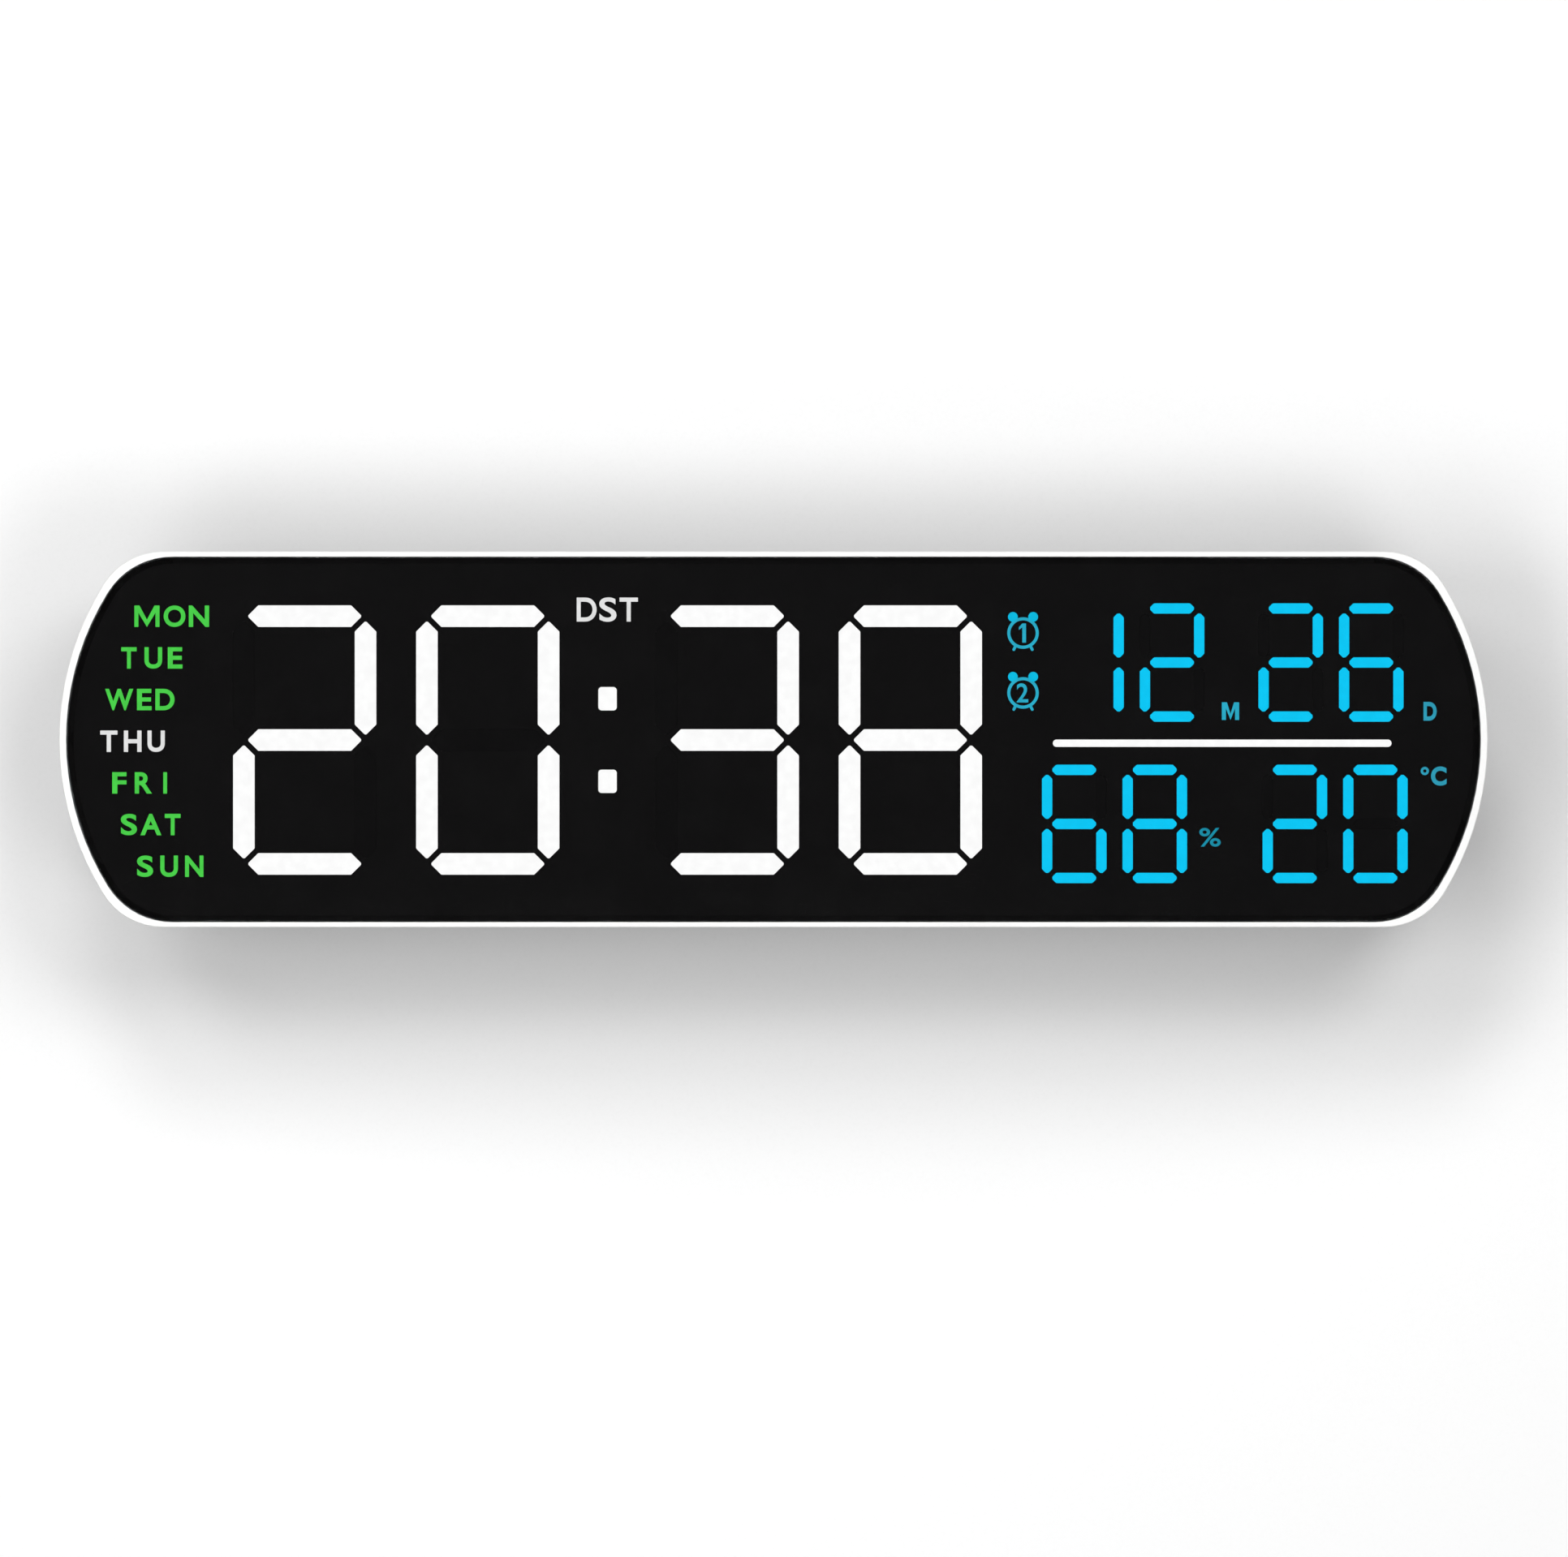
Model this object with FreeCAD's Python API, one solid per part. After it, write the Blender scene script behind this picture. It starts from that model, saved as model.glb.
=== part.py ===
"""Large-digit day clock: a slim oblong casing with bowed ends, a dark front window over lit
seven-segment digits, weekday words and units, and a back cover with buttons, a battery door,
keyholes for a wall and two fold-out legs for a table.

Millimetres. +X is to the right seen from the front, +Y points to the back, +Z is up.
The origin is the middle of the surface that the clock stands on.
"""

import FreeCAD
import Part
import math
import os
from FreeCAD import Vector

# Hours and minutes: seven-segment digits on a lattice of column by row.
time_column = 32.4
time_row = 33.0
time_stroke = 5.75
time_side_gap = 1.2
time_end_gap = 1.5
time_tip = 0.5
digit_gap = 10.6
time_margin = 12.625
time_drop = 0.15
colon_width = 5.05
colon_height = 6.4
colon_spacing = 22.0
colon_gap = 10.3
colon_round = 0.9

# Date, humidity and temperature: pairs of small digits about a divider bar.
small_column = 14.45
small_row = 14.4
small_stroke = 2.75
small_side_gap = 1.4
small_end_gap = 1.35
small_tip = 0.7
small_digit_gap = 4.25
pair_gap = 20.1
month_shift = 4.6
day_shift = -1.1
divider_height = 1.95
divider_drop = 1.0
divider_gap = 4.75
divider_left_inset = 2.9
divider_right_inset = 4.3

# Light pads behind the weekday words and the small signs.
weekday_count = 7
weekday_width = 23.0
weekday_height = 6.4
weekday_pitch = 11.08
weekday_drop = 0.45
weekday_margin = 8.5
weekday_room = 12.575
alarm_width = 9.4
alarm_height = 11.0
alarm_spacing = 16.0
alarm_rise = 21.05
alarm_gap = 6.275
date_from_alarm = 5.0
dst_width = 17.6
dst_height = 7.4
dst_rise = 34.75
sign_from_digits = 6.8
letter_width = 5.6
letter_drop = 12.7
percent_width = 6.6
percent_drop = 3.7
degree_width = 7.6
degree_rise = 12.5
right_margin = 19.1
pad_round = 0.8

# Front window, its rim and its outline: flat top and bottom, bowed ends, one rounding.
rim_end = 2.0
rim_side = 1.5
lens_end_radius = 74.0
lens_corner_radius = 20.0
end_radius_rise = 4.0
corner_radius_drop = 1.5
lens_thickness = 2.0
lens_recess = 0.3
lens_gap = 0.1
lens_edge_round = 0.3
gasket_thickness = 0.2
gasket_width = 1.6
film_thickness = 0.2
ledge_width = 2.2
ledge_thickness = 1.6

# Casing shells.
case_depth = 28.0
case_wall = 2.0
front_edge_round = 0.35
back_edge_round = 5.0
back_inner_round = 3.2
parting_from_front = 17.0
parting_groove = 0.3
lip_depth = 2.0
lip_thickness = 1.2
lip_gap = 0.1

# Display: reflector frame with light pads in its cells, and the board behind it.
reflector_depth = 9.0
reflector_gap = 0.5
pad_thickness = 1.2
pad_gap = 0.05
board_thickness = 1.6
led_length = 2.0
led_width = 1.25
led_height = 0.8
time_led_spacing = 10.0
pad_led_spacing = 7.0
receiver_drop = 8.35
receiver_size = 5.4
receiver_height = 4.2
receiver_dome = 1.8
daylight_drop = 19.35
daylight_size = 3.2
daylight_height = 1.6
sensor_cell_gap = 0.6
driver_rise = 12.0
driver_length = 17.9
driver_width = 7.5
driver_height = 2.3
driver_lead_reach = 1.4
driver_lead_width = 0.5
driver_lead_pitch = 1.27
driver_lead_count = 13
driver_lead_thickness = 0.3
display_screw_rise = 20.0
display_screw_margin = 8.1

# Screws, their bosses and tubes.
case_screw_end_inset = 35.0
case_screw_middle = 60.0
case_screw_inset = 8.6
case_screw_radius = 1.3
case_screw_head = 2.6
case_screw_head_height = 1.8
case_screw_length = 12.0
case_screw_sink = 3.0
boss_radius = 3.0
boss_depth = 8.8
boss_rib = 2.0
boss_room = 0.4
boss_gap = 0.2
tube_wall = 1.1
small_screw_radius = 0.9
small_screw_head = 1.7
small_screw_head_height = 1.1
small_screw_length = 6.0
screw_gap = 0.15
screw_head_round = 0.45
cross_width = 0.55
cross_reach = 0.62
cross_depth = 0.8
clamp_post_radius = 2.5
clamp_post_rise = 24.0
clamp_post_end_inset = 12.0

# Control board and what stands on it, placed from the board's left end and its top.
control_gap = 4.3
control_left = -58.0
control_length = 148.0
control_top_gap = 1.4
control_bottom_gap = 0.8
control_round = 1.5
control_screw_inset = 4.0
post_radius = 3.0
post_hole_spare = 0.4
header_from_left = 84.0
header_rise = 9.2
header_pins = 16
header_pitch = 2.54
header_width = 2.5
pin_size = 0.64
pin_reach = 1.0
pin_hole_radius = 0.55
controller_from_left = 98.0
controller_size = 10.0
controller_height = 1.4
controller_rise = 27.0
dot_radius = 0.5
dot_inset = 1.4
dot_depth = 0.2
crystal_gap = 4.0
crystal_length = 11.0
crystal_width = 4.4
crystal_height = 3.4
can_round = 0.5
capacitor_count = 2
capacitor_gap = 5.0
capacitor_pitch = 9.0
capacitor_radius = 3.1
capacitor_height = 5.4
score_length = 4.4
score_width = 0.3
score_depth = 0.2
buzzer_from_left = 66.0
buzzer_radius = 6.0
buzzer_height = 5.0
buzzer_port_radius = 1.0
buzzer_port_depth = 1.5
grille_hole_radius = 0.8
grille_ring_radius = 3.0
grille_ring_count = 6

# Buttons on the back.
button_names = ("mode", "up", "down", "dimmer")
button_pitch = 18.0
button_from_top = 20.0
button_radius = 3.9
button_gap = 0.2
button_travel = 0.6
button_flange = 1.3
button_flange_thickness = 0.8
button_flange_gap = 0.1
button_stand = 0.9
button_round = 0.6
trough_margin = 2.6
trough_depth = 1.5
trough_floor = 2.0
switch_size = 6.0
switch_gap = 0.9
plunger_radius = 1.7
plunger_gap = 0.15
plunger_engaged = 0.8
plunger_well_spare = 0.2

# Coin cell, its holder and the hinged door over it.
cell_from_left = 23.0
cell_radius = 10.0
cell_thickness = 3.2
cell_cap_radius = 8.9
cell_cap_height = 0.5
cell_round = 0.35
holder_gap = 0.3
holder_wall = 1.2
holder_base = 1.0
holder_rim_drop = 0.8
holder_grip_width = 9.0
contact_width = 5.0
contact_thickness = 0.3
contact_gap = 0.2
door_side = 2.0
door_margin = 2.0
door_foot = 5.0
door_gap = 0.25
door_thickness = 2.0
door_ledge_thickness = 2.4
door_frame_margin = 3.0
door_barrel_radius = 1.6
door_nub_radius = 0.75
door_nub_length = 1.6
door_nub_gap = 0.08
door_scoop_radius = 5.0
door_scoop_depth = 1.2

# Bay for the power plug, open to the back and to the bottom.
bay_from_right = 12.0
bay_width = 16.0
bay_height = 28.0
bay_depth = 9.4
bay_wall = 1.2
cable_notch_width = 8.0
socket_width = 8.9
socket_thickness = 3.3
socket_length = 7.3
socket_shell = 0.3
socket_lift = 1.35
socket_gap = 0.15
socket_base_width = 7.1
socket_tongue_thickness = 0.7
socket_tongue_width = 6.7
socket_tongue_reach = 5.2

# Keyholes for two screws in a wall.
keyhole_spacing = 200.0
keyhole_from_top = 38.0
keyhole_entry_radius = 4.25
keyhole_slot_width = 4.4
keyhole_rise = 9.0
keyhole_room = 5.0
keyhole_pocket_depth = 4.6
keyhole_wall = 1.2

# Air slots and the climate sensor behind them.
vent_count = 5
vent_pitch = 4.0
vent_width = 2.0
vent_height = 20.0
vent_z = 34.0
sensor_board_gap = 3.0
sensor_board_width = 18.0
sensor_board_height = 12.0
sensor_board_lift = 4.4
sensor_post_radius = 1.6
sensor_post_inset = 2.6
stake_radius = 0.9
stake_gap = 0.1
stake_reach = 0.4
climate_sensor_size = 5.0
climate_sensor_height = 2.0
climate_port_radius = 1.1
climate_port_depth = 0.6
ribbon_width = 5.0
ribbon_drop = 2.6
ribbon_thickness = 0.4
ribbon_hold = 3.0

# Bare label on the back.
label_from_door = 12.0
label_z = 32.0
label_width = 46.0
label_height = 22.0
label_sink = 0.4
label_thickness = 0.2
label_gap = 0.4
label_round = 1.5

# Fold-out legs.
leg_end_inset = 48.0
leg_width = 16.0
leg_thickness = 4.0
leg_reach = 52.0
leg_taper = 1.5
leg_side_gap = 0.5
leg_end_gap = 0.6
leg_edge_round = 0.6
leg_axis_z = 9.0
leg_sink = 0.4
leg_barrel_radius = 2.6
leg_floor_gap = 0.6
leg_pocket_wall = 1.5
leg_ear_wall = 1.0
leg_pin_radius = 1.2
leg_pin_gap = 0.1
leg_pin_hold = 3.5
pin_press_gap = 0.02
leg_scoop_radius = 7.0
leg_scoop_depth = 3.0
leg_rib_count = 3
leg_rib_pitch = 3.0
leg_rib_width = 1.0
leg_rib_depth = 0.4
leg_rib_inset = 3.0
foot_radius = 4.0
foot_sink = 0.8
foot_stand = 0.35
foot_round = 0.2
foot_from_tip = 6.0

# How far a cutting body runs past the surface that it opens, and how close an edge lies to a
# level to count as being at it.
past = 1.0
level_match = 0.0001


class DigitStyle:
    """The lattice and stroke of one size of seven-segment digit."""

    def __init__(self, column, row, stroke, side_gap, end_gap, tip):
        self.column, self.row, self.stroke, self.tip = column, row, stroke, tip
        self.across = column - 2 * side_gap
        self.up = row - 2 * end_gap
        self.width = column + stroke
        self.height = 2 * row + stroke

    def bars(self, x, z, names="abcdefg"):
        """Middle, length and direction of each named bar of a digit centred on (x, z)."""
        left, right = x - self.column / 2, x + self.column / 2
        low, high = z - self.row / 2, z + self.row / 2
        places = {
            "a": (x, z + self.row, self.across, False),
            "b": (right, high, self.up, True),
            "c": (right, low, self.up, True),
            "d": (x, z - self.row, self.across, False),
            "e": (left, low, self.up, True),
            "f": (left, high, self.up, True),
            "g": (x, z, self.across, False),
        }
        return [places[name] for name in names]


time_style = DigitStyle(
    time_column, time_row, time_stroke, time_side_gap, time_end_gap, time_tip
)
small_style = DigitStyle(
    small_column, small_row, small_stroke, small_side_gap, small_end_gap, small_tip
)

# Overall size, which follows from what the window shows and the room around it.
colon_to_digits = colon_width / 2 + colon_gap
time_reach = colon_to_digits + 2 * time_style.width + digit_gap
pair_width = 2 * small_style.width + small_digit_gap
hours_from_left = weekday_margin + weekday_width + weekday_room
date_from_time = alarm_gap + alarm_width / 2 + date_from_alarm
date_width = 2 * pair_width + pair_gap
lens_length = hours_from_left + 2 * time_reach + date_from_time + date_width + right_margin
lens_height = time_style.height + 2 * time_margin
case_length = lens_length + 2 * rim_end
case_height = lens_height + 2 * rim_side
case_end_radius = lens_end_radius + end_radius_rise
case_corner_radius = lens_corner_radius - corner_radius_drop
middle_z = case_height / 2

# Places along X and Z in the window.
colon_x = hours_from_left + time_reach - lens_length / 2
colon_to_near = colon_to_digits + time_style.width / 2
colon_to_far = colon_to_near + time_style.width + digit_gap
time_z = middle_z - time_drop
time_digit_x = {
    "hour_tens_digit": colon_x - colon_to_far,
    "hour_units_digit": colon_x - colon_to_near,
    "minute_tens_digit": colon_x + colon_to_near,
    "minute_units_digit": colon_x + colon_to_far,
}
alarm_x = colon_x + time_reach + alarm_gap + alarm_width / 2
date_left = alarm_x + date_from_alarm
date_right = date_left + date_width
date_middle = (date_left + date_right) / 2
divider_z = middle_z - divider_drop
pair_offset = divider_height / 2 + divider_gap + small_style.height / 2
small_pitch = small_style.width + small_digit_gap
pair_left_x = date_left + pair_width / 2
pair_right_x = date_right - pair_width / 2
small_pairs = {
    "month_digits": (pair_left_x + month_shift, divider_z + pair_offset),
    "day_digits": (pair_right_x + day_shift, divider_z + pair_offset),
    "humidity_digits": (pair_left_x, divider_z - pair_offset),
    "temperature_digits": (pair_right_x, divider_z - pair_offset),
}

# Levels along Y.
front_y = -case_depth / 2
back_y = case_depth / 2
parting_y = front_y + parting_from_front
lens_front_y = front_y + lens_recess
lens_back_y = lens_front_y + lens_thickness
film_front_y = lens_back_y + gasket_thickness
ledge_front_y = film_front_y + film_thickness
ledge_back_y = ledge_front_y + ledge_thickness
reflector_y = ledge_front_y
board_y = reflector_y + reflector_depth
board_back_y = board_y + board_thickness
control_y = board_back_y + control_gap
control_back_y = control_y + board_thickness
cover_inner_y = back_y - case_wall
boss_end_y = parting_y - lip_depth - boss_gap

# The control board and the places that follow from it.
tube_radius = case_screw_head + 2 * screw_gap + tube_wall
control_right = control_left + control_length
control_bottom = bay_height + control_bottom_gap
control_top = case_height - case_screw_inset - tube_radius - control_top_gap
header_x = control_left + header_from_left
header_z = control_bottom + header_rise
controller_x = control_left + controller_from_left
controller_z = control_bottom + controller_rise
crystal_x = controller_x + (controller_size + crystal_length) / 2 + crystal_gap
capacitor_x = crystal_x + crystal_length / 2 + capacitor_gap + capacitor_radius
buzzer_x = control_left + buzzer_from_left
button_z = case_height - button_from_top
bay_x = control_right - bay_from_right
socket_y = control_back_y + socket_lift + socket_thickness / 2
socket_bottom = bay_height - bay_wall
keyhole_z = case_height - keyhole_from_top
vent_x = control_right + sensor_board_gap + sensor_board_width / 2
sensor_board_y = cover_inner_y - sensor_board_lift

# Buttons, coin cell, door and legs.
button_wall_y = back_y - trough_depth - trough_floor
button_flange_y = button_wall_y - button_flange_gap - button_flange_thickness
button_face_y = back_y - trough_depth + button_stand
switch_top_y = button_flange_y - switch_gap
cell_x = control_left + cell_from_left
cell_z = middle_z
cell_y = control_back_y + holder_base
cell_top_y = cell_y + cell_thickness
holder_radius = cell_radius + holder_gap + holder_wall
holder_top_y = cell_top_y - holder_rim_drop
door_opening = 2 * (cell_radius + door_margin)
door_width = door_opening + 2 * door_side
door_bottom = cell_z - door_opening / 2 - door_foot + door_side
door_top = cell_z + door_opening / 2 + door_side
door_axis_y = back_y - door_barrel_radius
door_axis_z = door_bottom + door_barrel_radius
label_x = cell_x - door_width / 2 - label_from_door - label_width / 2
leg_x = case_length / 2 - leg_end_inset
leg_outer_y = back_y - leg_sink
leg_inner_y = leg_outer_y - leg_thickness
leg_axis_y = leg_outer_y - leg_barrel_radius
leg_pocket_y = leg_axis_y - leg_barrel_radius - leg_floor_gap
leg_tip_z = leg_axis_z + leg_reach
foot_z = leg_tip_z - foot_from_tip


class Outline:
    """The oblong outline: how far its end and corner arcs reach, and where they meet."""

    def __init__(self, length, height, end_radius, corner_radius):
        self.half_length, self.half_height = length / 2, height / 2
        self.end_radius, self.corner_radius = end_radius, corner_radius
        self.end_x = self.half_length - end_radius
        self.corner_z = self.half_height - corner_radius
        reach = end_radius - corner_radius
        self.corner_x = self.end_x + math.sqrt(reach**2 - self.corner_z**2)
        self.lean = math.atan2(self.corner_z, self.corner_x - self.end_x)

    def half_width(self, rise):
        """Half the outline's length at a height above or below its middle."""
        rise = abs(rise)
        if rise < self.end_radius * math.sin(self.lean):
            return self.end_x + math.sqrt(self.end_radius**2 - rise**2)
        return self.corner_x + math.sqrt(self.corner_radius**2 - (rise - self.corner_z) ** 2)

    def wire(self, inset=0.0):
        """The outline at y = 0, moved inwards by inset."""
        big, small = self.end_radius - inset, self.corner_radius - inset
        meet = (self.end_x + big * math.cos(self.lean), big * math.sin(self.lean))
        half_turn = (math.pi / 2 + self.lean) / 2
        bulge = (
            self.corner_x + small * math.cos(half_turn),
            self.corner_z + small * math.sin(half_turn),
        )
        top = self.half_height - inset

        def place(x, z):
            return Vector(x, 0, middle_z + z)

        edges = []
        for side in (1, -1):
            ends = [place(-self.corner_x, side * top), place(self.corner_x, side * top)]
            edges.append(Part.makeLine(*ends))
            bow = [meet, (self.half_length - inset, 0), (meet[0], -meet[1])]
            edges.append(Part.Arc(*[place(side * x, z) for x, z in bow]).toShape())
            for up in (1, -1):
                corner = [(self.corner_x, top), bulge, meet]
                edges.append(Part.Arc(*[place(side * x, up * z) for x, z in corner]).toShape())
        return Part.Wire(Part.__sortEdges__(edges))


case_outline = Outline(case_length, case_height, case_end_radius, case_corner_radius)
lens_outline = Outline(lens_length, lens_height, lens_end_radius, lens_corner_radius)


def prism(wires, y0, y1):
    """A solid between two levels from one outline, or from an outline and its holes."""
    if not isinstance(wires, list):
        wires = [wires]
    face = Part.makeFace(wires, "Part::FaceMakerBullseye")
    return face.translated(Vector(0, y0, 0)).extrude(Vector(0, y1 - y0, 0))


def cylinder(x, z, radius, y0, y1):
    return Part.makeCylinder(radius, y1 - y0, Vector(x, y0, z), Vector(0, 1, 0))


def rod_along_x(x0, x1, y, z, radius):
    return Part.makeCylinder(radius, x1 - x0, Vector(x0, y, z), Vector(1, 0, 0))


def block(x0, x1, y0, y1, z0, z1):
    return Part.makeBox(x1 - x0, y1 - y0, z1 - z0, Vector(x0, y0, z0))


def centred_block(x, z, width, height, y0, y1):
    return block(x - width / 2, x + width / 2, y0, y1, z - height / 2, z + height / 2)


def rounded_wire(x, z, width, height, radius):
    """A rectangle with round corners at y = 0. A radius of half the height makes round ends."""
    a, b = width / 2, height / 2
    r = min(radius, a, b)
    diagonal = r * (1 - math.sqrt(0.5))
    edges = []
    for sx in (1, -1):
        for sz in (1, -1):
            start = Vector(x + sx * (a - r), 0, z + sz * b)
            bend = Vector(x + sx * (a - diagonal), 0, z + sz * (b - diagonal))
            stop = Vector(x + sx * a, 0, z + sz * (b - r))
            edges.append(Part.Arc(start, bend, stop).toShape())
    for side in (1, -1):
        if a > r:
            level = z + side * b
            edges.append(Part.makeLine(Vector(x - a + r, 0, level), Vector(x + a - r, 0, level)))
        if b > r:
            flank = x + side * a
            edges.append(Part.makeLine(Vector(flank, 0, z - b + r), Vector(flank, 0, z + b - r)))
    return Part.Wire(Part.__sortEdges__(edges))


def edges_at_level(shape, y):
    """The edges of a shape that lie wholly at one level."""
    found = []
    for edge in shape.Edges:
        box = edge.BoundBox
        if max(abs(box.YMin - y), abs(box.YMax - y)) < level_match:
            found.append(edge)
    return found


def joined(shape, others):
    return shape.multiFuse(others).removeSplitter()


def segment_wire(bar, style, grow=0.0):
    """One bar of a digit: a strip with ends cut at 45 degrees to a short tip."""
    x, z, length, upright = bar
    half, side, nose = length / 2 + grow, style.stroke / 2 + grow, style.tip / 2
    shoulder = half - (side - nose)
    corners = [(half, nose), (shoulder, side), (-shoulder, side), (-half, nose)]
    corners += [(-u, -v) for u, v in corners]
    if upright:
        corners = [(v, u) for u, v in corners]
    points = [Vector(x + u, 0, z + v) for u, v in corners]
    return Part.makePolygon(points + points[:1])


def time_bars(node):
    return time_style.bars(time_digit_x[node], time_z)


def pair_bars(node):
    """The bars of a pair of small digits. The first figure of the month is only ever a one."""
    x, z = small_pairs[node]
    first = "bc" if node == "month_digits" else "abcdefg"
    tens = small_style.bars(x - small_pitch / 2, z, first)
    return tens + small_style.bars(x + small_pitch / 2, z)


def digit_wires(style, bars, grow=0.0):
    return [segment_wire(bar, style, grow) for bar in bars]


def pad_wires(places, grow=0.0):
    """Round-cornered pads, each given by its middle, width and height."""
    return [
        rounded_wire(x, z, width + 2 * grow, height + 2 * grow, pad_round)
        for x, z, width, height in places
    ]


def colon_places():
    return [(colon_x, time_z + side * colon_spacing / 2) for side in (1, -1)]


def colon_wires(grow=0.0):
    return [
        rounded_wire(x, z, colon_width + 2 * grow, colon_height + 2 * grow, colon_round)
        for x, z in colon_places()
    ]


def divider_span():
    left, right = date_left + divider_left_inset, date_right - divider_right_inset
    return (left + right) / 2, right - left


def divider_wires(grow=0.0):
    x, length = divider_span()
    height = divider_height + 2 * grow
    return [rounded_wire(x, divider_z, length + 2 * grow, height, height / 2)]


def weekday_places():
    """Seven word pads down the left side, whose left edges follow the window's bowed end."""
    places = []
    for i in range(weekday_count):
        z = middle_z - weekday_drop + ((weekday_count - 1) / 2 - i) * weekday_pitch
        rise = abs(z - middle_z) + weekday_height / 2
        x = -lens_outline.half_width(rise) + weekday_margin + weekday_width / 2
        places.append((x, z, weekday_width, weekday_height))
    return places


def sign_places():
    """Pads behind the summer-time sign, the two alarm signs and the units."""
    places = [(colon_x, time_z + dst_rise, dst_width, dst_height)]
    for side in (1, -1):
        z = time_z + alarm_rise + side * alarm_spacing / 2
        places.append((alarm_x, z, alarm_width, alarm_height))
    units = [
        ("month_digits", -letter_drop, letter_width),
        ("day_digits", -letter_drop, letter_width),
        ("humidity_digits", -percent_drop, percent_width),
        ("temperature_digits", degree_rise, degree_width),
    ]
    for node, rise, width in units:
        x, z = small_pairs[node]
        places.append((x + pair_width / 2 + sign_from_digits, z + rise, width, weekday_height))
    return places


def sensor_places():
    """Middle and size of the remote-control receiver and of the daylight sensor."""
    return [(time_z - receiver_drop, receiver_size), (time_z - daylight_drop, daylight_size)]


def sensor_cells():
    sizes = [(z, size + 2 * sensor_cell_gap) for z, size in sensor_places()]
    return [rounded_wire(alarm_x, z, size, size, pad_round) for z, size in sizes]


def lit_shapes(grow=0.0):
    """Every opening that shows its whole shape: digits, colon and divider."""
    wires = []
    for node in time_digit_x:
        wires += digit_wires(time_style, time_bars(node), grow)
    for node in small_pairs:
        wires += digit_wires(small_style, pair_bars(node), grow)
    return wires + colon_wires(grow) + divider_wires(grow)


def light_pads(wires):
    return Part.makeCompound(
        [prism(wire, reflector_y, reflector_y + pad_thickness) for wire in wires]
    )


def screw(x, z, seat_y, way, radius, head_radius, head_height, length):
    """A pan-head screw with a cross recess. Its head stands from seat_y along Y times way."""
    top = seat_y + way * head_height
    head = cylinder(x, z, head_radius, min(seat_y, top), max(seat_y, top))
    head = head.makeFillet(screw_head_round * head_height, edges_at_level(head, top))
    foot = seat_y - way * length
    shank = cylinder(x, z, radius, min(seat_y, foot), max(seat_y, foot))
    floor = top - way * cross_depth
    low, high = min(top, floor), max(top, floor)
    arm = 2 * head_radius * cross_reach
    cuts = [
        centred_block(x, z, arm, cross_width, low, high),
        centred_block(x, z, cross_width, arm, low, high),
    ]
    return joined(head, [shank]).cut(cuts)


def small_screws(places, seat_y, way):
    sizes = (small_screw_radius, small_screw_head, small_screw_head_height, small_screw_length)
    return Part.makeCompound([screw(x, z, seat_y, way, *sizes) for x, z in places])


def case_screw_places():
    low, high = case_screw_inset, case_height - case_screw_inset
    end_x = case_length / 2 - case_screw_end_inset
    top = [(side * x, high) for side in (1, -1) for x in (end_x, case_screw_middle)]
    bottom = [(side * x, low) for side in (1, -1) for x in (date_middle, case_screw_middle)]
    return top + bottom


def display_screw_places():
    """Between the digits, beside the colon, under the sensors and at both ends."""
    digits = list(time_digit_x.values())
    places = []
    for x in ((digits[0] + digits[1]) / 2, colon_x, (digits[2] + digits[3]) / 2):
        places += [(x, time_z + side * display_screw_rise) for side in (1, -1)]
    places.append((digits[0] - time_style.width / 2 - display_screw_margin, time_z))
    places.append((alarm_x, time_z - display_screw_rise - display_screw_margin))
    places.append((date_right + display_screw_margin / 2, divider_z))
    return places


def boss_notches(y0, y1):
    """Room in the display stack for the casing's bosses and their ribs."""
    room = boss_radius + boss_room
    cuts = []
    for x, z in case_screw_places():
        z0, z1 = (-past, z) if z < middle_z else (z, case_height + past)
        cuts.append(cylinder(x, z, room, y0, y1))
        cuts.append(block(x - room, x + room, y0, y1, z0, z1))
    return cuts


def screw_holes(places, y0, y1):
    return [cylinder(x, z, small_screw_radius + screw_gap, y0, y1) for x, z in places]


def pin_places():
    first = header_x - header_pitch * (header_pins - 1) / 2
    return [(first + i * header_pitch, header_z) for i in range(header_pins)]


def pin_holes(y):
    y0, y1 = y - past, y + board_thickness + past
    return [cylinder(x, z, pin_hole_radius, y0, y1) for x, z in pin_places()]


def make_front_case():
    outer = prism(case_outline.wire(), front_y, parting_y)
    outer = outer.makeFillet(front_edge_round, edges_at_level(outer, front_y))
    outer = outer.makeChamfer(parting_groove, edges_at_level(outer, parting_y))
    hollow = prism(case_outline.wire(case_wall), ledge_back_y, parting_y)
    seat = prism(lens_outline.wire(-lens_gap), front_y, ledge_front_y)
    window = prism(lens_outline.wire(ledge_width), ledge_front_y, ledge_back_y)
    shell = outer.cut([hollow, seat, window])
    boss_y = boss_end_y - boss_depth
    bosses, pilots = [], []
    for x, z in case_screw_places():
        wall_z = case_wall / 2 if z < middle_z else case_height - case_wall / 2
        z0, z1 = min(wall_z, z), max(wall_z, z)
        bosses.append(cylinder(x, z, boss_radius, boss_y, boss_end_y))
        bosses.append(block(x - boss_rib / 2, x + boss_rib / 2, boss_y, boss_end_y, z0, z1))
        pilots.append(
            cylinder(x, z, case_screw_radius + screw_gap, boss_y + past, boss_end_y + past)
        )
    return joined(shell, bosses).cut(pilots)


def make_front_lens():
    lens = prism(lens_outline.wire(), lens_front_y, lens_back_y)
    return lens.makeFillet(lens_edge_round, edges_at_level(lens, lens_front_y))


def make_lens_gasket():
    wires = [lens_outline.wire(), lens_outline.wire(gasket_width)]
    return prism(wires, lens_back_y, film_front_y)


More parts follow.
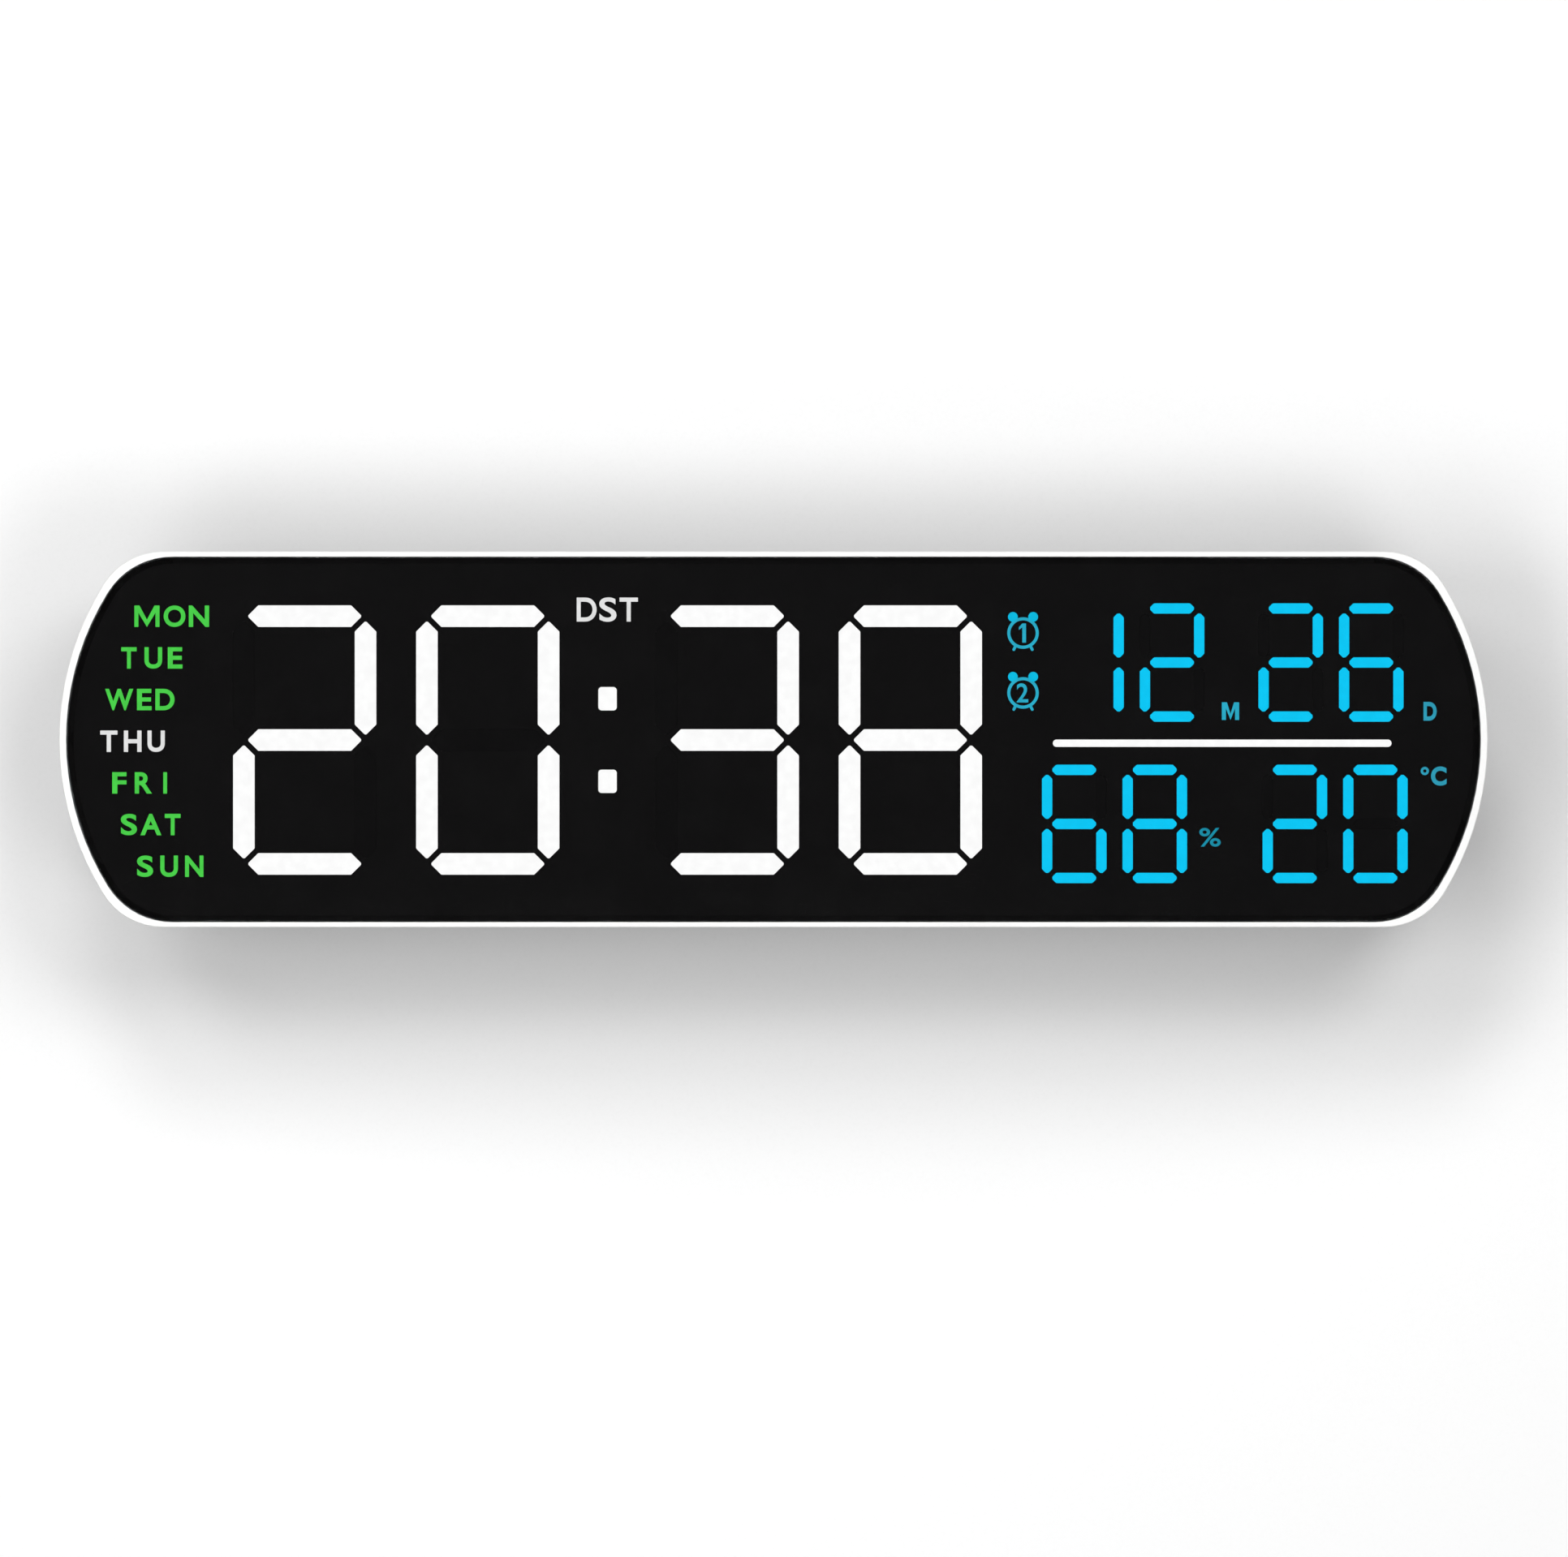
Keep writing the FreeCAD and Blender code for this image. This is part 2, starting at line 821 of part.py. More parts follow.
def make_mask_film():
    """Black film held between gasket and ledge. Its print is thin over words and sensors."""
    return prism([lens_outline.wire()] + lit_shapes(), film_front_y, ledge_front_y)


def make_reflector_frame():
    """A block with a cell for every light pad, stepped so that it seats on the window's ledge."""
    cells = lit_shapes(pad_gap) + sensor_cells()
    cells += pad_wires(weekday_places(), pad_gap) + pad_wires(sign_places(), pad_gap)
    front = prism(lens_outline.wire(ledge_width + reflector_gap), reflector_y, ledge_back_y)
    rear = prism(case_outline.wire(case_wall + reflector_gap), ledge_back_y, board_y)
    frame = joined(front, [rear])
    cuts = [prism(cell, reflector_y - past, board_y + past) for cell in cells]
    cuts += boss_notches(ledge_back_y - past, board_y + past)
    cuts += screw_holes(display_screw_places(), board_y - small_screw_length, board_y + past)
    return frame.cut(cuts)


def make_led_board():
    board = prism(case_outline.wire(case_wall + reflector_gap), board_y, board_back_y)
    cuts = boss_notches(board_y - past, board_back_y + past) + pin_holes(board_y)
    cuts += screw_holes(display_screw_places(), board_y - past, board_back_y + past)
    return board.cut(cuts)


def make_display_leds():
    """Light-emitting chips on the display board, each in the cell that it lights."""
    places = []
    for node in time_digit_x:
        for x, z, _, upright in time_bars(node):
            for step in (-time_led_spacing, 0, time_led_spacing):
                dx, dz = (0, step) if upright else (step, 0)
                places.append((x + dx, z + dz, upright))
    for node in small_pairs:
        places += [(x, z, upright) for x, z, _, upright in pair_bars(node)]
    places += [(x, z, True) for x, z in colon_places()]
    middle, length = divider_span()
    count = int(length // time_led_spacing)
    for i in range(count):
        places.append((middle + (i - (count - 1) / 2) * time_led_spacing, divider_z, False))
    for x, z, _, _ in weekday_places():
        places += [(x + side * pad_led_spacing / 2, z, False) for side in (-1, 1)]
    places += [(x, z, False) for x, z, _, _ in sign_places()]
    chips = []
    for x, z, upright in places:
        wide, high = (led_width, led_length) if upright else (led_length, led_width)
        chips.append(centred_block(x, z, wide, high, board_y - led_height, board_y))
    return Part.makeCompound(chips)


def make_remote_receiver():
    z, size = sensor_places()[0]
    y0 = board_y - receiver_height
    body = centred_block(alarm_x, z, size, size, y0, board_y)
    return joined(body, [Part.makeSphere(receiver_dome, Vector(alarm_x, y0, z))])


def make_daylight_sensor():
    z, size = sensor_places()[1]
    return centred_block(alarm_x, z, size, size, board_y - daylight_height, board_y)


def driver_places():
    """One driver chip behind each group of digits."""
    hours = time_digit_x["hour_units_digit"]
    minutes = time_digit_x["minute_tens_digit"]
    return [(x, middle_z + driver_rise) for x in (hours, minutes, date_middle)]


def make_driver_chips():
    y1 = board_back_y + driver_height
    return Part.makeCompound(
        [
            centred_block(x, z, driver_length, driver_width, board_back_y, y1)
            for x, z in driver_places()
        ]
    )


def make_driver_leads():
    """Feet along both long sides of each driver chip, flat on the board."""
    y1 = board_back_y + driver_lead_thickness
    feet = []
    for x, z in driver_places():
        for i in range(driver_lead_count):
            foot_x = x + (i - (driver_lead_count - 1) / 2) * driver_lead_pitch
            for side in (1, -1):
                foot_z = z + side * (driver_width + driver_lead_reach) / 2
                feet.append(
                    centred_block(
                        foot_x, foot_z, driver_lead_width, driver_lead_reach, board_back_y, y1
                    )
                )
    return Part.makeCompound(feet)


def make_board_header():
    length = header_pins * header_pitch
    strip = centred_block(header_x, header_z, length, header_width, board_back_y, control_y)
    holes = [
        centred_block(x, z, pin_size, pin_size, board_back_y, control_y) for x, z in pin_places()
    ]
    return strip.cut(holes)


def make_header_pins():
    y0, y1 = board_y, control_back_y + pin_reach
    return Part.makeCompound(
        [centred_block(x, z, pin_size, pin_size, y0, y1) for x, z in pin_places()]
    )


def control_screw_places():
    left, right = control_left + control_screw_inset, control_right - control_screw_inset
    low, high = control_bottom + control_screw_inset, control_top - control_screw_inset
    beside_socket = bay_x - socket_width / 2 - 2 * control_screw_inset
    return [(left, high), (right, high), (left, low), (beside_socket, low)]


def make_control_board():
    middle = (control_left + control_right) / 2
    height = control_top - control_bottom
    wire = rounded_wire(
        middle, control_bottom + height / 2, control_length, height, control_round
    )
    board = prism(wire, control_y, control_back_y)
    holes = screw_holes(control_screw_places(), control_y - past, control_back_y + past)
    return board.cut(holes + pin_holes(control_y))


def make_controller_chip():
    top = control_back_y + controller_height
    size = controller_size
    body = centred_block(controller_x, controller_z, size, size, control_back_y, top)
    corner = size / 2 - dot_inset
    dot = cylinder(
        controller_x - corner, controller_z + corner, dot_radius, top - dot_depth, top + past
    )
    return body.cut(dot)


def make_crystal_can():
    wire = rounded_wire(
        crystal_x, controller_z, crystal_length, crystal_width, crystal_width / 2
    )
    top = control_back_y + crystal_height
    can = prism(wire, control_back_y, top)
    return can.makeFillet(can_round, edges_at_level(can, top))


def make_capacitors():
    top = control_back_y + capacitor_height
    cans = []
    for i in range(capacitor_count):
        x = capacitor_x + i * capacitor_pitch
        can = cylinder(x, controller_z, capacitor_radius, control_back_y, top)
        can = can.makeFillet(can_round, edges_at_level(can, top))
        scores = [
            centred_block(x, controller_z, wide, high, top - score_depth, top + past)
            for wide, high in ((score_length, score_width), (score_width, score_length))
        ]
        cans.append(can.cut(scores))
    return Part.makeCompound(cans)


def make_buzzer():
    top = control_back_y + buzzer_height
    body = cylinder(buzzer_x, middle_z, buzzer_radius, control_back_y, top)
    body = body.makeFillet(can_round, edges_at_level(body, top))
    port = cylinder(
        buzzer_x, middle_z, buzzer_port_radius, top - buzzer_port_depth, top + past
    )
    return body.cut(port)


def button_places():
    """X of each button by name, in one row about the middle of the case."""
    span = button_pitch * (len(button_names) - 1)
    return {name: span / 2 - i * button_pitch for i, name in enumerate(button_names)}


def make_switch_bodies():
    """Push switches under the buttons, each with a well that its plunger moves in."""
    well_y = switch_top_y - plunger_engaged - button_travel - plunger_well_spare
    bodies = []
    for x in button_places().values():
        body = centred_block(x, button_z, switch_size, switch_size, control_back_y, switch_top_y)
        well = cylinder(x, button_z, plunger_radius + plunger_gap, well_y, switch_top_y + past)
        bodies.append(body.cut(well))
    return Part.makeCompound(bodies)


def make_plunger(x):
    return cylinder(x, button_z, plunger_radius, switch_top_y - plunger_engaged, button_flange_y)


def make_button(x):
    flange_top = button_flange_y + button_flange_thickness
    cap = cylinder(x, button_z, button_radius, button_flange_y, button_face_y)
    cap = cap.makeFillet(button_round, edges_at_level(cap, button_face_y))
    flange = cylinder(x, button_z, button_radius + button_flange, button_flange_y, flange_top)
    return joined(cap, [flange])


def contact_x():
    """The face of the side contact that meets the cell's rim."""
    return cell_x - cell_radius - contact_gap


def make_coin_cell_holder():
    """A cup for the cell, with a slot for the side contact and a dip for a fingertip."""
    cup = cylinder(cell_x, cell_z, holder_radius, control_back_y, holder_top_y)
    room = cylinder(cell_x, cell_z, cell_radius + holder_gap, cell_y, holder_top_y + past)
    half = contact_width / 2 + contact_gap
    slot = block(
        cell_x - holder_radius - past, cell_x, cell_y, holder_top_y + past,
        cell_z - half, cell_z + half,
    )
    grip = centred_block(
        cell_x, cell_z + holder_radius, holder_grip_width, 2 * holder_wall + cell_radius / 2,
        cell_y, holder_top_y + past,
    )
    return cup.cut([room, slot, grip])


def make_battery_contact():
    """Side contact: an upright strip beside the cell, on a foot in the holder's slot."""
    x1 = contact_x()
    x0 = x1 - contact_thickness
    z0, z1 = cell_z - contact_width / 2, cell_z + contact_width / 2
    strip = block(x0, x1, cell_y, holder_top_y, z0, z1)
    foot = block(x0 - holder_wall, x1, cell_y, cell_y + contact_thickness, z0, z1)
    return joined(strip, [foot])


def make_coin_cell():
    """Coin cell: a wide can below and a smaller cap above."""
    shoulder_y = cell_top_y - cell_cap_height
    can = cylinder(cell_x, cell_z, cell_radius, cell_y, shoulder_y)
    can = can.makeFillet(cell_round, edges_at_level(can, cell_y))
    cap = cylinder(cell_x, cell_z, cell_cap_radius, shoulder_y, cell_top_y)
    return joined(can, [cap])


def make_battery_door():
    left, right = cell_x - door_width / 2, cell_x + door_width / 2
    plate = block(left, right, back_y - door_thickness, back_y, door_axis_z, door_top)
    barrel = rod_along_x(left, right, door_axis_y, door_axis_z, door_barrel_radius)
    nubs = rod_along_x(
        left - door_nub_length, right + door_nub_length, door_axis_y, door_axis_z,
        door_nub_radius,
    )
    return joined(plate, [barrel, nubs])


def door_cuts_and_frame():
    """The frame that the door closes on, and what is cut from the cover for the door."""
    inner_y = cover_inner_y - door_ledge_thickness
    left, right = cell_x - door_width / 2, cell_x + door_width / 2
    bottom, top = door_bottom - door_gap, door_top + door_gap
    frame = block(
        left - door_frame_margin, right + door_frame_margin, inner_y, cover_inner_y,
        door_bottom - door_frame_margin, door_top + door_frame_margin,
    )
    rebate = block(
        left - door_gap, right + door_gap, back_y - door_thickness, back_y + past, bottom, top
    )
    barrel_y = door_axis_y - door_barrel_radius - door_gap
    barrel_top = door_axis_z + door_barrel_radius + door_gap
    barrel_room = block(
        left - door_gap, right + door_gap, barrel_y, back_y + past, bottom, barrel_top
    )
    opening = centred_block(
        cell_x, cell_z, door_opening, door_opening, inner_y - past, back_y + past
    )
    reach = door_nub_length + door_gap
    sockets = rod_along_x(
        left - reach, right + reach, door_axis_y, door_axis_z, door_nub_radius + door_nub_gap
    )
    scoop = cylinder(cell_x, top, door_scoop_radius, back_y - door_scoop_depth, back_y + past)
    return [frame], [rebate, barrel_room, opening, sockets, scoop]


def keyhole_opening(x, y0, y1):
    """A round entry with a slot that rises from it."""
    width = keyhole_slot_width / 2
    top = keyhole_z + keyhole_rise
    entry = cylinder(x, keyhole_z, keyhole_entry_radius, y0, y1)
    slot = block(x - width, x + width, y0, y1, keyhole_z, top)
    return joined(entry, [slot, cylinder(x, top, width, y0, y1)])


def keyhole_pocket(x, grow, y0, y1):
    """Room for the screw's head at every height of the slot."""
    half = keyhole_room + grow
    return block(
        x - half, x + half, y0, y1, keyhole_z - half, keyhole_z + keyhole_rise + half
    )


def keyhole_cuts_and_pockets():
    deep = cover_inner_y - keyhole_pocket_depth
    solids, cuts = [], []
    for side in (1, -1):
        x = side * keyhole_spacing / 2
        solids.append(keyhole_pocket(x, keyhole_wall, deep - keyhole_wall, cover_inner_y))
        cuts.append(keyhole_pocket(x, 0, deep, cover_inner_y))
        cuts.append(keyhole_opening(x, cover_inner_y - past, back_y + past))
    return solids, cuts


def bay_cuts_and_walls():
    """A boxed bay for the power plug, with a notch for its cable in the bottom edge."""
    left, right = bay_x - bay_width / 2, bay_x + bay_width / 2
    floor_y = back_y - bay_depth
    walls = block(
        left - bay_wall, right + bay_wall, floor_y - bay_wall, cover_inner_y,
        case_wall / 2, bay_height,
    )
    room = block(left, right, floor_y, back_y + past, case_wall, bay_height - bay_wall)
    notch = centred_block(
        bay_x, 0, cable_notch_width, 2 * (case_wall + past), floor_y, back_y + past
    )
    half = socket_thickness / 2 + socket_gap
    mouth = centred_block(
        bay_x, bay_height, socket_width + 2 * socket_gap, 2 * (bay_wall + past),
        socket_y - half, socket_y + half,
    )
    return [walls], [room, notch, mouth]


def socket_bar(inset, z1):
    """An upright bar with a rounded oblong section, as the shell of a small power socket."""
    radius = socket_thickness / 2 - inset
    half = socket_width / 2 - socket_thickness / 2
    length = z1 - socket_bottom
    bar = block(
        bay_x - half, bay_x + half, socket_y - radius, socket_y + radius, socket_bottom, z1
    )
    ends = [
        Part.makeCylinder(radius, length, Vector(bay_x + side * half, socket_y, socket_bottom))
        for side in (1, -1)
    ]
    return joined(bar, ends)


def make_power_socket_shell():
    top = socket_bottom + socket_length
    return socket_bar(0, top).cut(socket_bar(socket_shell, top - socket_shell))


def make_power_socket_base():
    """The block that holds the socket off the control board."""
    return block(
        bay_x - socket_base_width / 2, bay_x + socket_base_width / 2, control_back_y,
        socket_y - socket_thickness / 2, control_bottom, socket_bottom + socket_length,
    )


def make_power_socket_tongue():
    top = socket_bottom + socket_length - socket_shell
    return block(
        bay_x - socket_tongue_width / 2, bay_x + socket_tongue_width / 2,
        socket_y - socket_tongue_thickness / 2, socket_y + socket_tongue_thickness / 2,
        top - socket_tongue_reach, top,
    )


def leg_wire(x):
    """The leg seen from behind: straight sides that taper a little to a round tip."""
    base, tip = leg_width / 2, leg_width / 2 - leg_taper
    shoulder = leg_tip_z - tip
    corners = [
        Vector(x + tip, 0, shoulder),
        Vector(x + base, 0, leg_axis_z),
        Vector(x - base, 0, leg_axis_z),
        Vector(x - tip, 0, shoulder),
    ]
    crown = Part.Arc(corners[3], Vector(x, 0, leg_tip_z), corners[0]).toShape()
    return Part.Wire(Part.makePolygon(corners).Edges + [crown])


def make_leg(x):
    paddle = prism(leg_wire(x), leg_inner_y, leg_outer_y)
    above_axis = leg_axis_z + leg_edge_round
    rim = [e for e in edges_at_level(paddle, leg_outer_y) if e.BoundBox.ZMax > above_axis]
    paddle = paddle.makeFillet(leg_edge_round, rim)
    half = leg_width / 2
    barrel = rod_along_x(x - half, x + half, leg_axis_y, leg_axis_z, leg_barrel_radius)
    bore = rod_along_x(
        x - half - past, x + half + past, leg_axis_y, leg_axis_z, leg_pin_radius + leg_pin_gap
    )
    seat = cylinder(x, foot_z, foot_radius, leg_outer_y - foot_sink, leg_outer_y + past)
    cuts = [bore, seat]
    for i in range(leg_rib_count):
        z = foot_z - foot_radius - leg_rib_pitch * (i + 1)
        cuts.append(
            centred_block(
                x, z, leg_width - 2 * leg_rib_inset, leg_rib_width, leg_outer_y - leg_rib_depth,
                leg_outer_y + past,
            )
        )
    return joined(paddle, [barrel]).cut(cuts)


def make_leg_foot(x):
    face_y = leg_outer_y + foot_stand
    foot = cylinder(x, foot_z, foot_radius, leg_outer_y - foot_sink, face_y)
    return foot.makeFillet(foot_round, edges_at_level(foot, face_y))


def make_leg_pin(x):
    half = leg_width / 2 + leg_side_gap + leg_pin_hold
    return rod_along_x(x - half, x + half, leg_axis_y, leg_axis_z, leg_pin_radius)


def leg_cuts_and_pockets():
    """Pockets that the folded legs lie in, with ears for the pins and a finger scoop on top."""
    half = leg_width / 2 + leg_side_gap
    pin_half = half + leg_pin_hold
    bottom = leg_axis_z - leg_barrel_radius - leg_end_gap
    top = leg_tip_z + leg_end_gap
    solid_y = leg_pocket_y - leg_pocket_wall
    ear_top = leg_axis_z + leg_barrel_radius + leg_pocket_wall
    solids, cuts = [], []
    for side in (1, -1):
        x = side * leg_x
        pocket_half, ear_half = half + leg_pocket_wall, pin_half + leg_ear_wall
        solids.append(
            block(
                x - pocket_half, x + pocket_half, solid_y, cover_inner_y, case_wall / 2,
                top + leg_scoop_radius,
            )
        )
        solids.append(
            block(x - ear_half, x + ear_half, solid_y, cover_inner_y, case_wall / 2, ear_top)
        )
        cuts.append(block(x - half, x + half, leg_pocket_y, back_y + past, bottom, top))
        cuts.append(
            cylinder(x, top, leg_scoop_radius, back_y - leg_scoop_depth, back_y + past)
        )
        cuts.append(
            rod_along_x(
                x - pin_half, x + pin_half, leg_axis_y, leg_axis_z, leg_pin_radius + pin_press_gap
            )
        )
    return solids, cuts


def clamp_post_places():
    """Posts that press the display board onto the window's ledge, near both ends."""
    x = case_length / 2 - case_screw_end_inset + clamp_post_end_inset
    return [
        (side * x, middle_z + up * clamp_post_rise) for side in (1, -1) for up in (1, -1)
    ]


def screw_tubes():
    """Tubes for the case screws, posts for the control board and posts that clamp the display."""
    seat_y = back_y - case_screw_sink
    solids, cuts = [], []
    for x, z in case_screw_places():
        solids.append(cylinder(x, z, tube_radius, boss_end_y, cover_inner_y))
        cuts.append(cylinder(x, z, case_screw_head + 2 * screw_gap, seat_y, back_y + past))
        cuts.append(cylinder(x, z, case_screw_radius + screw_gap, boss_end_y - past, back_y))
    for x, z in control_screw_places():
        solids.append(cylinder(x, z, post_radius, control_back_y, cover_inner_y))
    depth = small_screw_length - board_thickness + post_hole_spare
    cuts += screw_holes(control_screw_places(), control_back_y - past, control_back_y + depth)
    for x, z in clamp_post_places():
        solids.append(cylinder(x, z, clamp_post_radius, board_back_y, cover_inner_y))
    return solids, cuts


def button_cuts_and_trough():
    xs = list(button_places().values())
    middle = (max(xs) + min(xs)) / 2
    reach = button_radius + trough_margin
    length = max(xs) - min(xs) + 2 * reach
    flange_reach = button_radius + button_flange + trough_margin
    floor = centred_block(
        middle, button_z, length + 2 * trough_floor, 2 * flange_reach, button_wall_y,
        cover_inner_y,
    )
    trough_wire = rounded_wire(middle, button_z, length, 2 * reach, reach)
    cuts = [prism(trough_wire, back_y - trough_depth, back_y + past)]
    for x in xs:
        cuts.append(
            cylinder(x, button_z, button_radius + button_gap, button_wall_y - past, back_y + past)
        )
    return [floor], cuts


def air_cuts():
    """Slots over the climate sensor and a ring of small holes over the buzzer."""
    y0, y1 = cover_inner_y - past, back_y + past
    cuts = []
    for i in range(vent_count):
        x = vent_x + (i - (vent_count - 1) / 2) * vent_pitch
        wire = rounded_wire(x, vent_z, vent_width, vent_height, vent_width / 2)
        cuts.append(prism(wire, y0, y1))
    holes = [(0.0, 0.0)]
    for i in range(grille_ring_count):
        turn = 2 * math.pi * i / grille_ring_count
        holes.append((grille_ring_radius * math.cos(turn), grille_ring_radius * math.sin(turn)))
    for dx, dz in holes:
        cuts.append(cylinder(buzzer_x + dx, middle_z + dz, grille_hole_radius, y0, y1))
    return cuts


def label_cut():
    width, height = label_width + 2 * label_gap, label_height + 2 * label_gap
    wire = rounded_wire(label_x, label_z, width, height, label_round)
    return prism(wire, back_y - label_sink, back_y + past)


def make_blank_label():
    wire = rounded_wire(label_x, label_z, label_width, label_height, label_round)
    low = back_y - label_sink
    return prism(wire, low, low + label_thickness)


def sensor_post_places():
    reach = sensor_board_width / 2 - sensor_post_inset
    drop = sensor_board_height / 2 - sensor_post_inset
    return [(vent_x - reach, vent_z + drop), (vent_x + reach, vent_z - drop)]


def sensor_posts():
    """Posts that carry the sensor board, each with a thin end that the board is staked on."""
    board_front_y = sensor_board_y - board_thickness
    solids = []
    for x, z in sensor_post_places():
        solids.append(cylinder(x, z, sensor_post_radius, sensor_board_y, cover_inner_y))
        solids.append(cylinder(x, z, stake_radius, board_front_y - stake_reach, sensor_board_y))
    return solids


def make_sensor_board():
    y0, y1 = sensor_board_y - board_thickness, sensor_board_y
    board = centred_block(vent_x, vent_z, sensor_board_width, sensor_board_height, y0, y1)
    holes = [
        cylinder(x, z, stake_radius + stake_gap, y0 - past, y1 + past)
        for x, z in sensor_post_places()
    ]
    return board.cut(holes)


def make_climate_sensor():
    top = sensor_board_y + climate_sensor_height
    size = climate_sensor_size
    body = centred_block(vent_x, vent_z, size, size, sensor_board_y, top)
    port = cylinder(vent_x, vent_z, climate_port_radius, top - climate_port_depth, top + past)
    return body.cut(port)


def make_sensor_ribbon():
    """Flat cable between the two boards: flat on each at its ends, with one step between."""
    x1, x2 = control_right, vent_x - sensor_board_width / 2
    low, high, t = control_back_y, sensor_board_y, ribbon_thickness
    under = [(x1 - ribbon_hold, low), (x1, low), (x2, high), (x2 + ribbon_hold, high)]
    over = [(x, y + t) for x, y in reversed(under)]
    z0 = vent_z - ribbon_drop - ribbon_width / 2
    points = [Vector(x, y, z0) for x, y in under + over]
    profile = Part.Face(Part.makePolygon(points + points[:1]))
    return profile.extrude(Vector(0, 0, ribbon_width))


def make_back_cover():
    outer = prism(case_outline.wire(), parting_y, back_y)
    outer = outer.makeFillet(back_edge_round, edges_at_level(outer, back_y))
    outer = outer.makeChamfer(parting_groove, edges_at_level(outer, parting_y))
    hollow = prism(case_outline.wire(case_wall), parting_y, cover_inner_y)
    hollow = hollow.makeFillet(back_inner_round, edges_at_level(hollow, cover_inner_y))
    lip_outer = case_outline.wire(case_wall + lip_gap)
    lip_inner = case_outline.wire(case_wall + lip_gap + lip_thickness)
    lip = prism([lip_outer, lip_inner], parting_y - lip_depth, parting_y + lip_depth)
    root_wires = [case_outline.wire(case_wall / 2), lip_inner]
    lip_root = prism(root_wires, parting_y, parting_y + lip_depth)
    solids, cuts = [lip, lip_root] + sensor_posts(), air_cuts() + [label_cut()]
    for more_solids, more_cuts in (
        door_cuts_and_frame(),
        keyhole_cuts_and_pockets(),
        bay_cuts_and_walls(),
        leg_cuts_and_pockets(),
        button_cuts_and_trough(),
        screw_tubes(),
    ):
        solids += more_solids
        cuts += more_cuts
    inside = prism(
        case_outline.wire(case_wall + lip_gap), board_back_y, cover_inner_y
    ).fuse(outer)
    kept = [solid.common(inside) for solid in solids]
    shell = joined(outer.cut(hollow), kept)
    return shell.cut(cuts).removeSplitter()


def make_case_screws():
    sizes = (case_screw_radius, case_screw_head, case_screw_head_height, case_screw_length)
    seat_y = back_y - case_screw_sink
    return Part.makeCompound([screw(x, z, seat_y, 1, *sizes) for x, z in case_screw_places()])


def build():
    """Every sub-part by its node's name."""
    parts = {
        "front_case": make_front_case(),
        "front_lens": make_front_lens(),
        "lens_gasket": make_lens_gasket(),
        "mask_film": make_mask_film(),
        "reflector_frame": make_reflector_frame(),
        "colon_dots": light_pads(colon_wires()),
        "divider_bar": light_pads(divider_wires()),
        "weekday_pads": light_pads(pad_wires(weekday_places())),
        "sign_pads": light_pads(pad_wires(sign_places())),
        "led_board": make_led_board(),
        "display_leds": make_display_leds(),
        "remote_receiver": make_remote_receiver(),
        "daylight_sensor": make_daylight_sensor(),
        "driver_chips": make_driver_chips(),
        "driver_leads": make_driver_leads(),
        "display_screws": small_screws(display_screw_places(), board_back_y, 1),
        "board_header": make_board_header(),
        "header_pins": make_header_pins(),
        "control_board": make_control_board(),
        "control_board_screws": small_screws(control_screw_places(), control_y, -1),
        "controller_chip": make_controller_chip(),
        "crystal_can": make_crystal_can(),
        "capacitors": make_capacitors(),
        "buzzer": make_buzzer(),
        "switch_bodies": make_switch_bodies(),
        "coin_cell_holder": make_coin_cell_holder(),
        "battery_contact": make_battery_contact(),
        "coin_cell": make_coin_cell(),
        "battery_door": make_battery_door(),
        "power_socket_shell": make_power_socket_shell(),
        "power_socket_base": make_power_socket_base(),
        "power_socket_tongue": make_power_socket_tongue(),
        "sensor_board": make_sensor_board(),
        "climate_sensor": make_climate_sensor(),
        "sensor_ribbon": make_sensor_ribbon(),
        "blank_label": make_blank_label(),
        "back_cover": make_back_cover(),
        "case_screws": make_case_screws(),
    }
    for node in time_digit_x:
        parts[node] = light_pads(digit_wires(time_style, time_bars(node)))
    for node in small_pairs:
        parts[node] = light_pads(digit_wires(small_style, pair_bars(node)))
    for name, x in button_places().items():
        parts[name + "_button"] = make_button(x)
        parts[name + "_plunger"] = make_plunger(x)
    for name, x in (("left", -leg_x), ("right", leg_x)):
        parts[name + "_leg"] = make_leg(x)
        parts[name + "_leg_pin"] = make_leg_pin(x)
        parts[name + "_leg_foot"] = make_leg_foot(x)
    return parts


def main():
    os.makedirs("parts", exist_ok=True)
    for node, shape in build().items():
        if not shape.isValid():
            print("not valid:", node)
        shape.exportStep(os.path.join("parts", node + ".step"))
        print(node, len(shape.Solids), "solids", round(shape.Volume, 1), "mm3")


main()
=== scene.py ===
import math

import bmesh
import bpy
from mathutils import Matrix, Vector


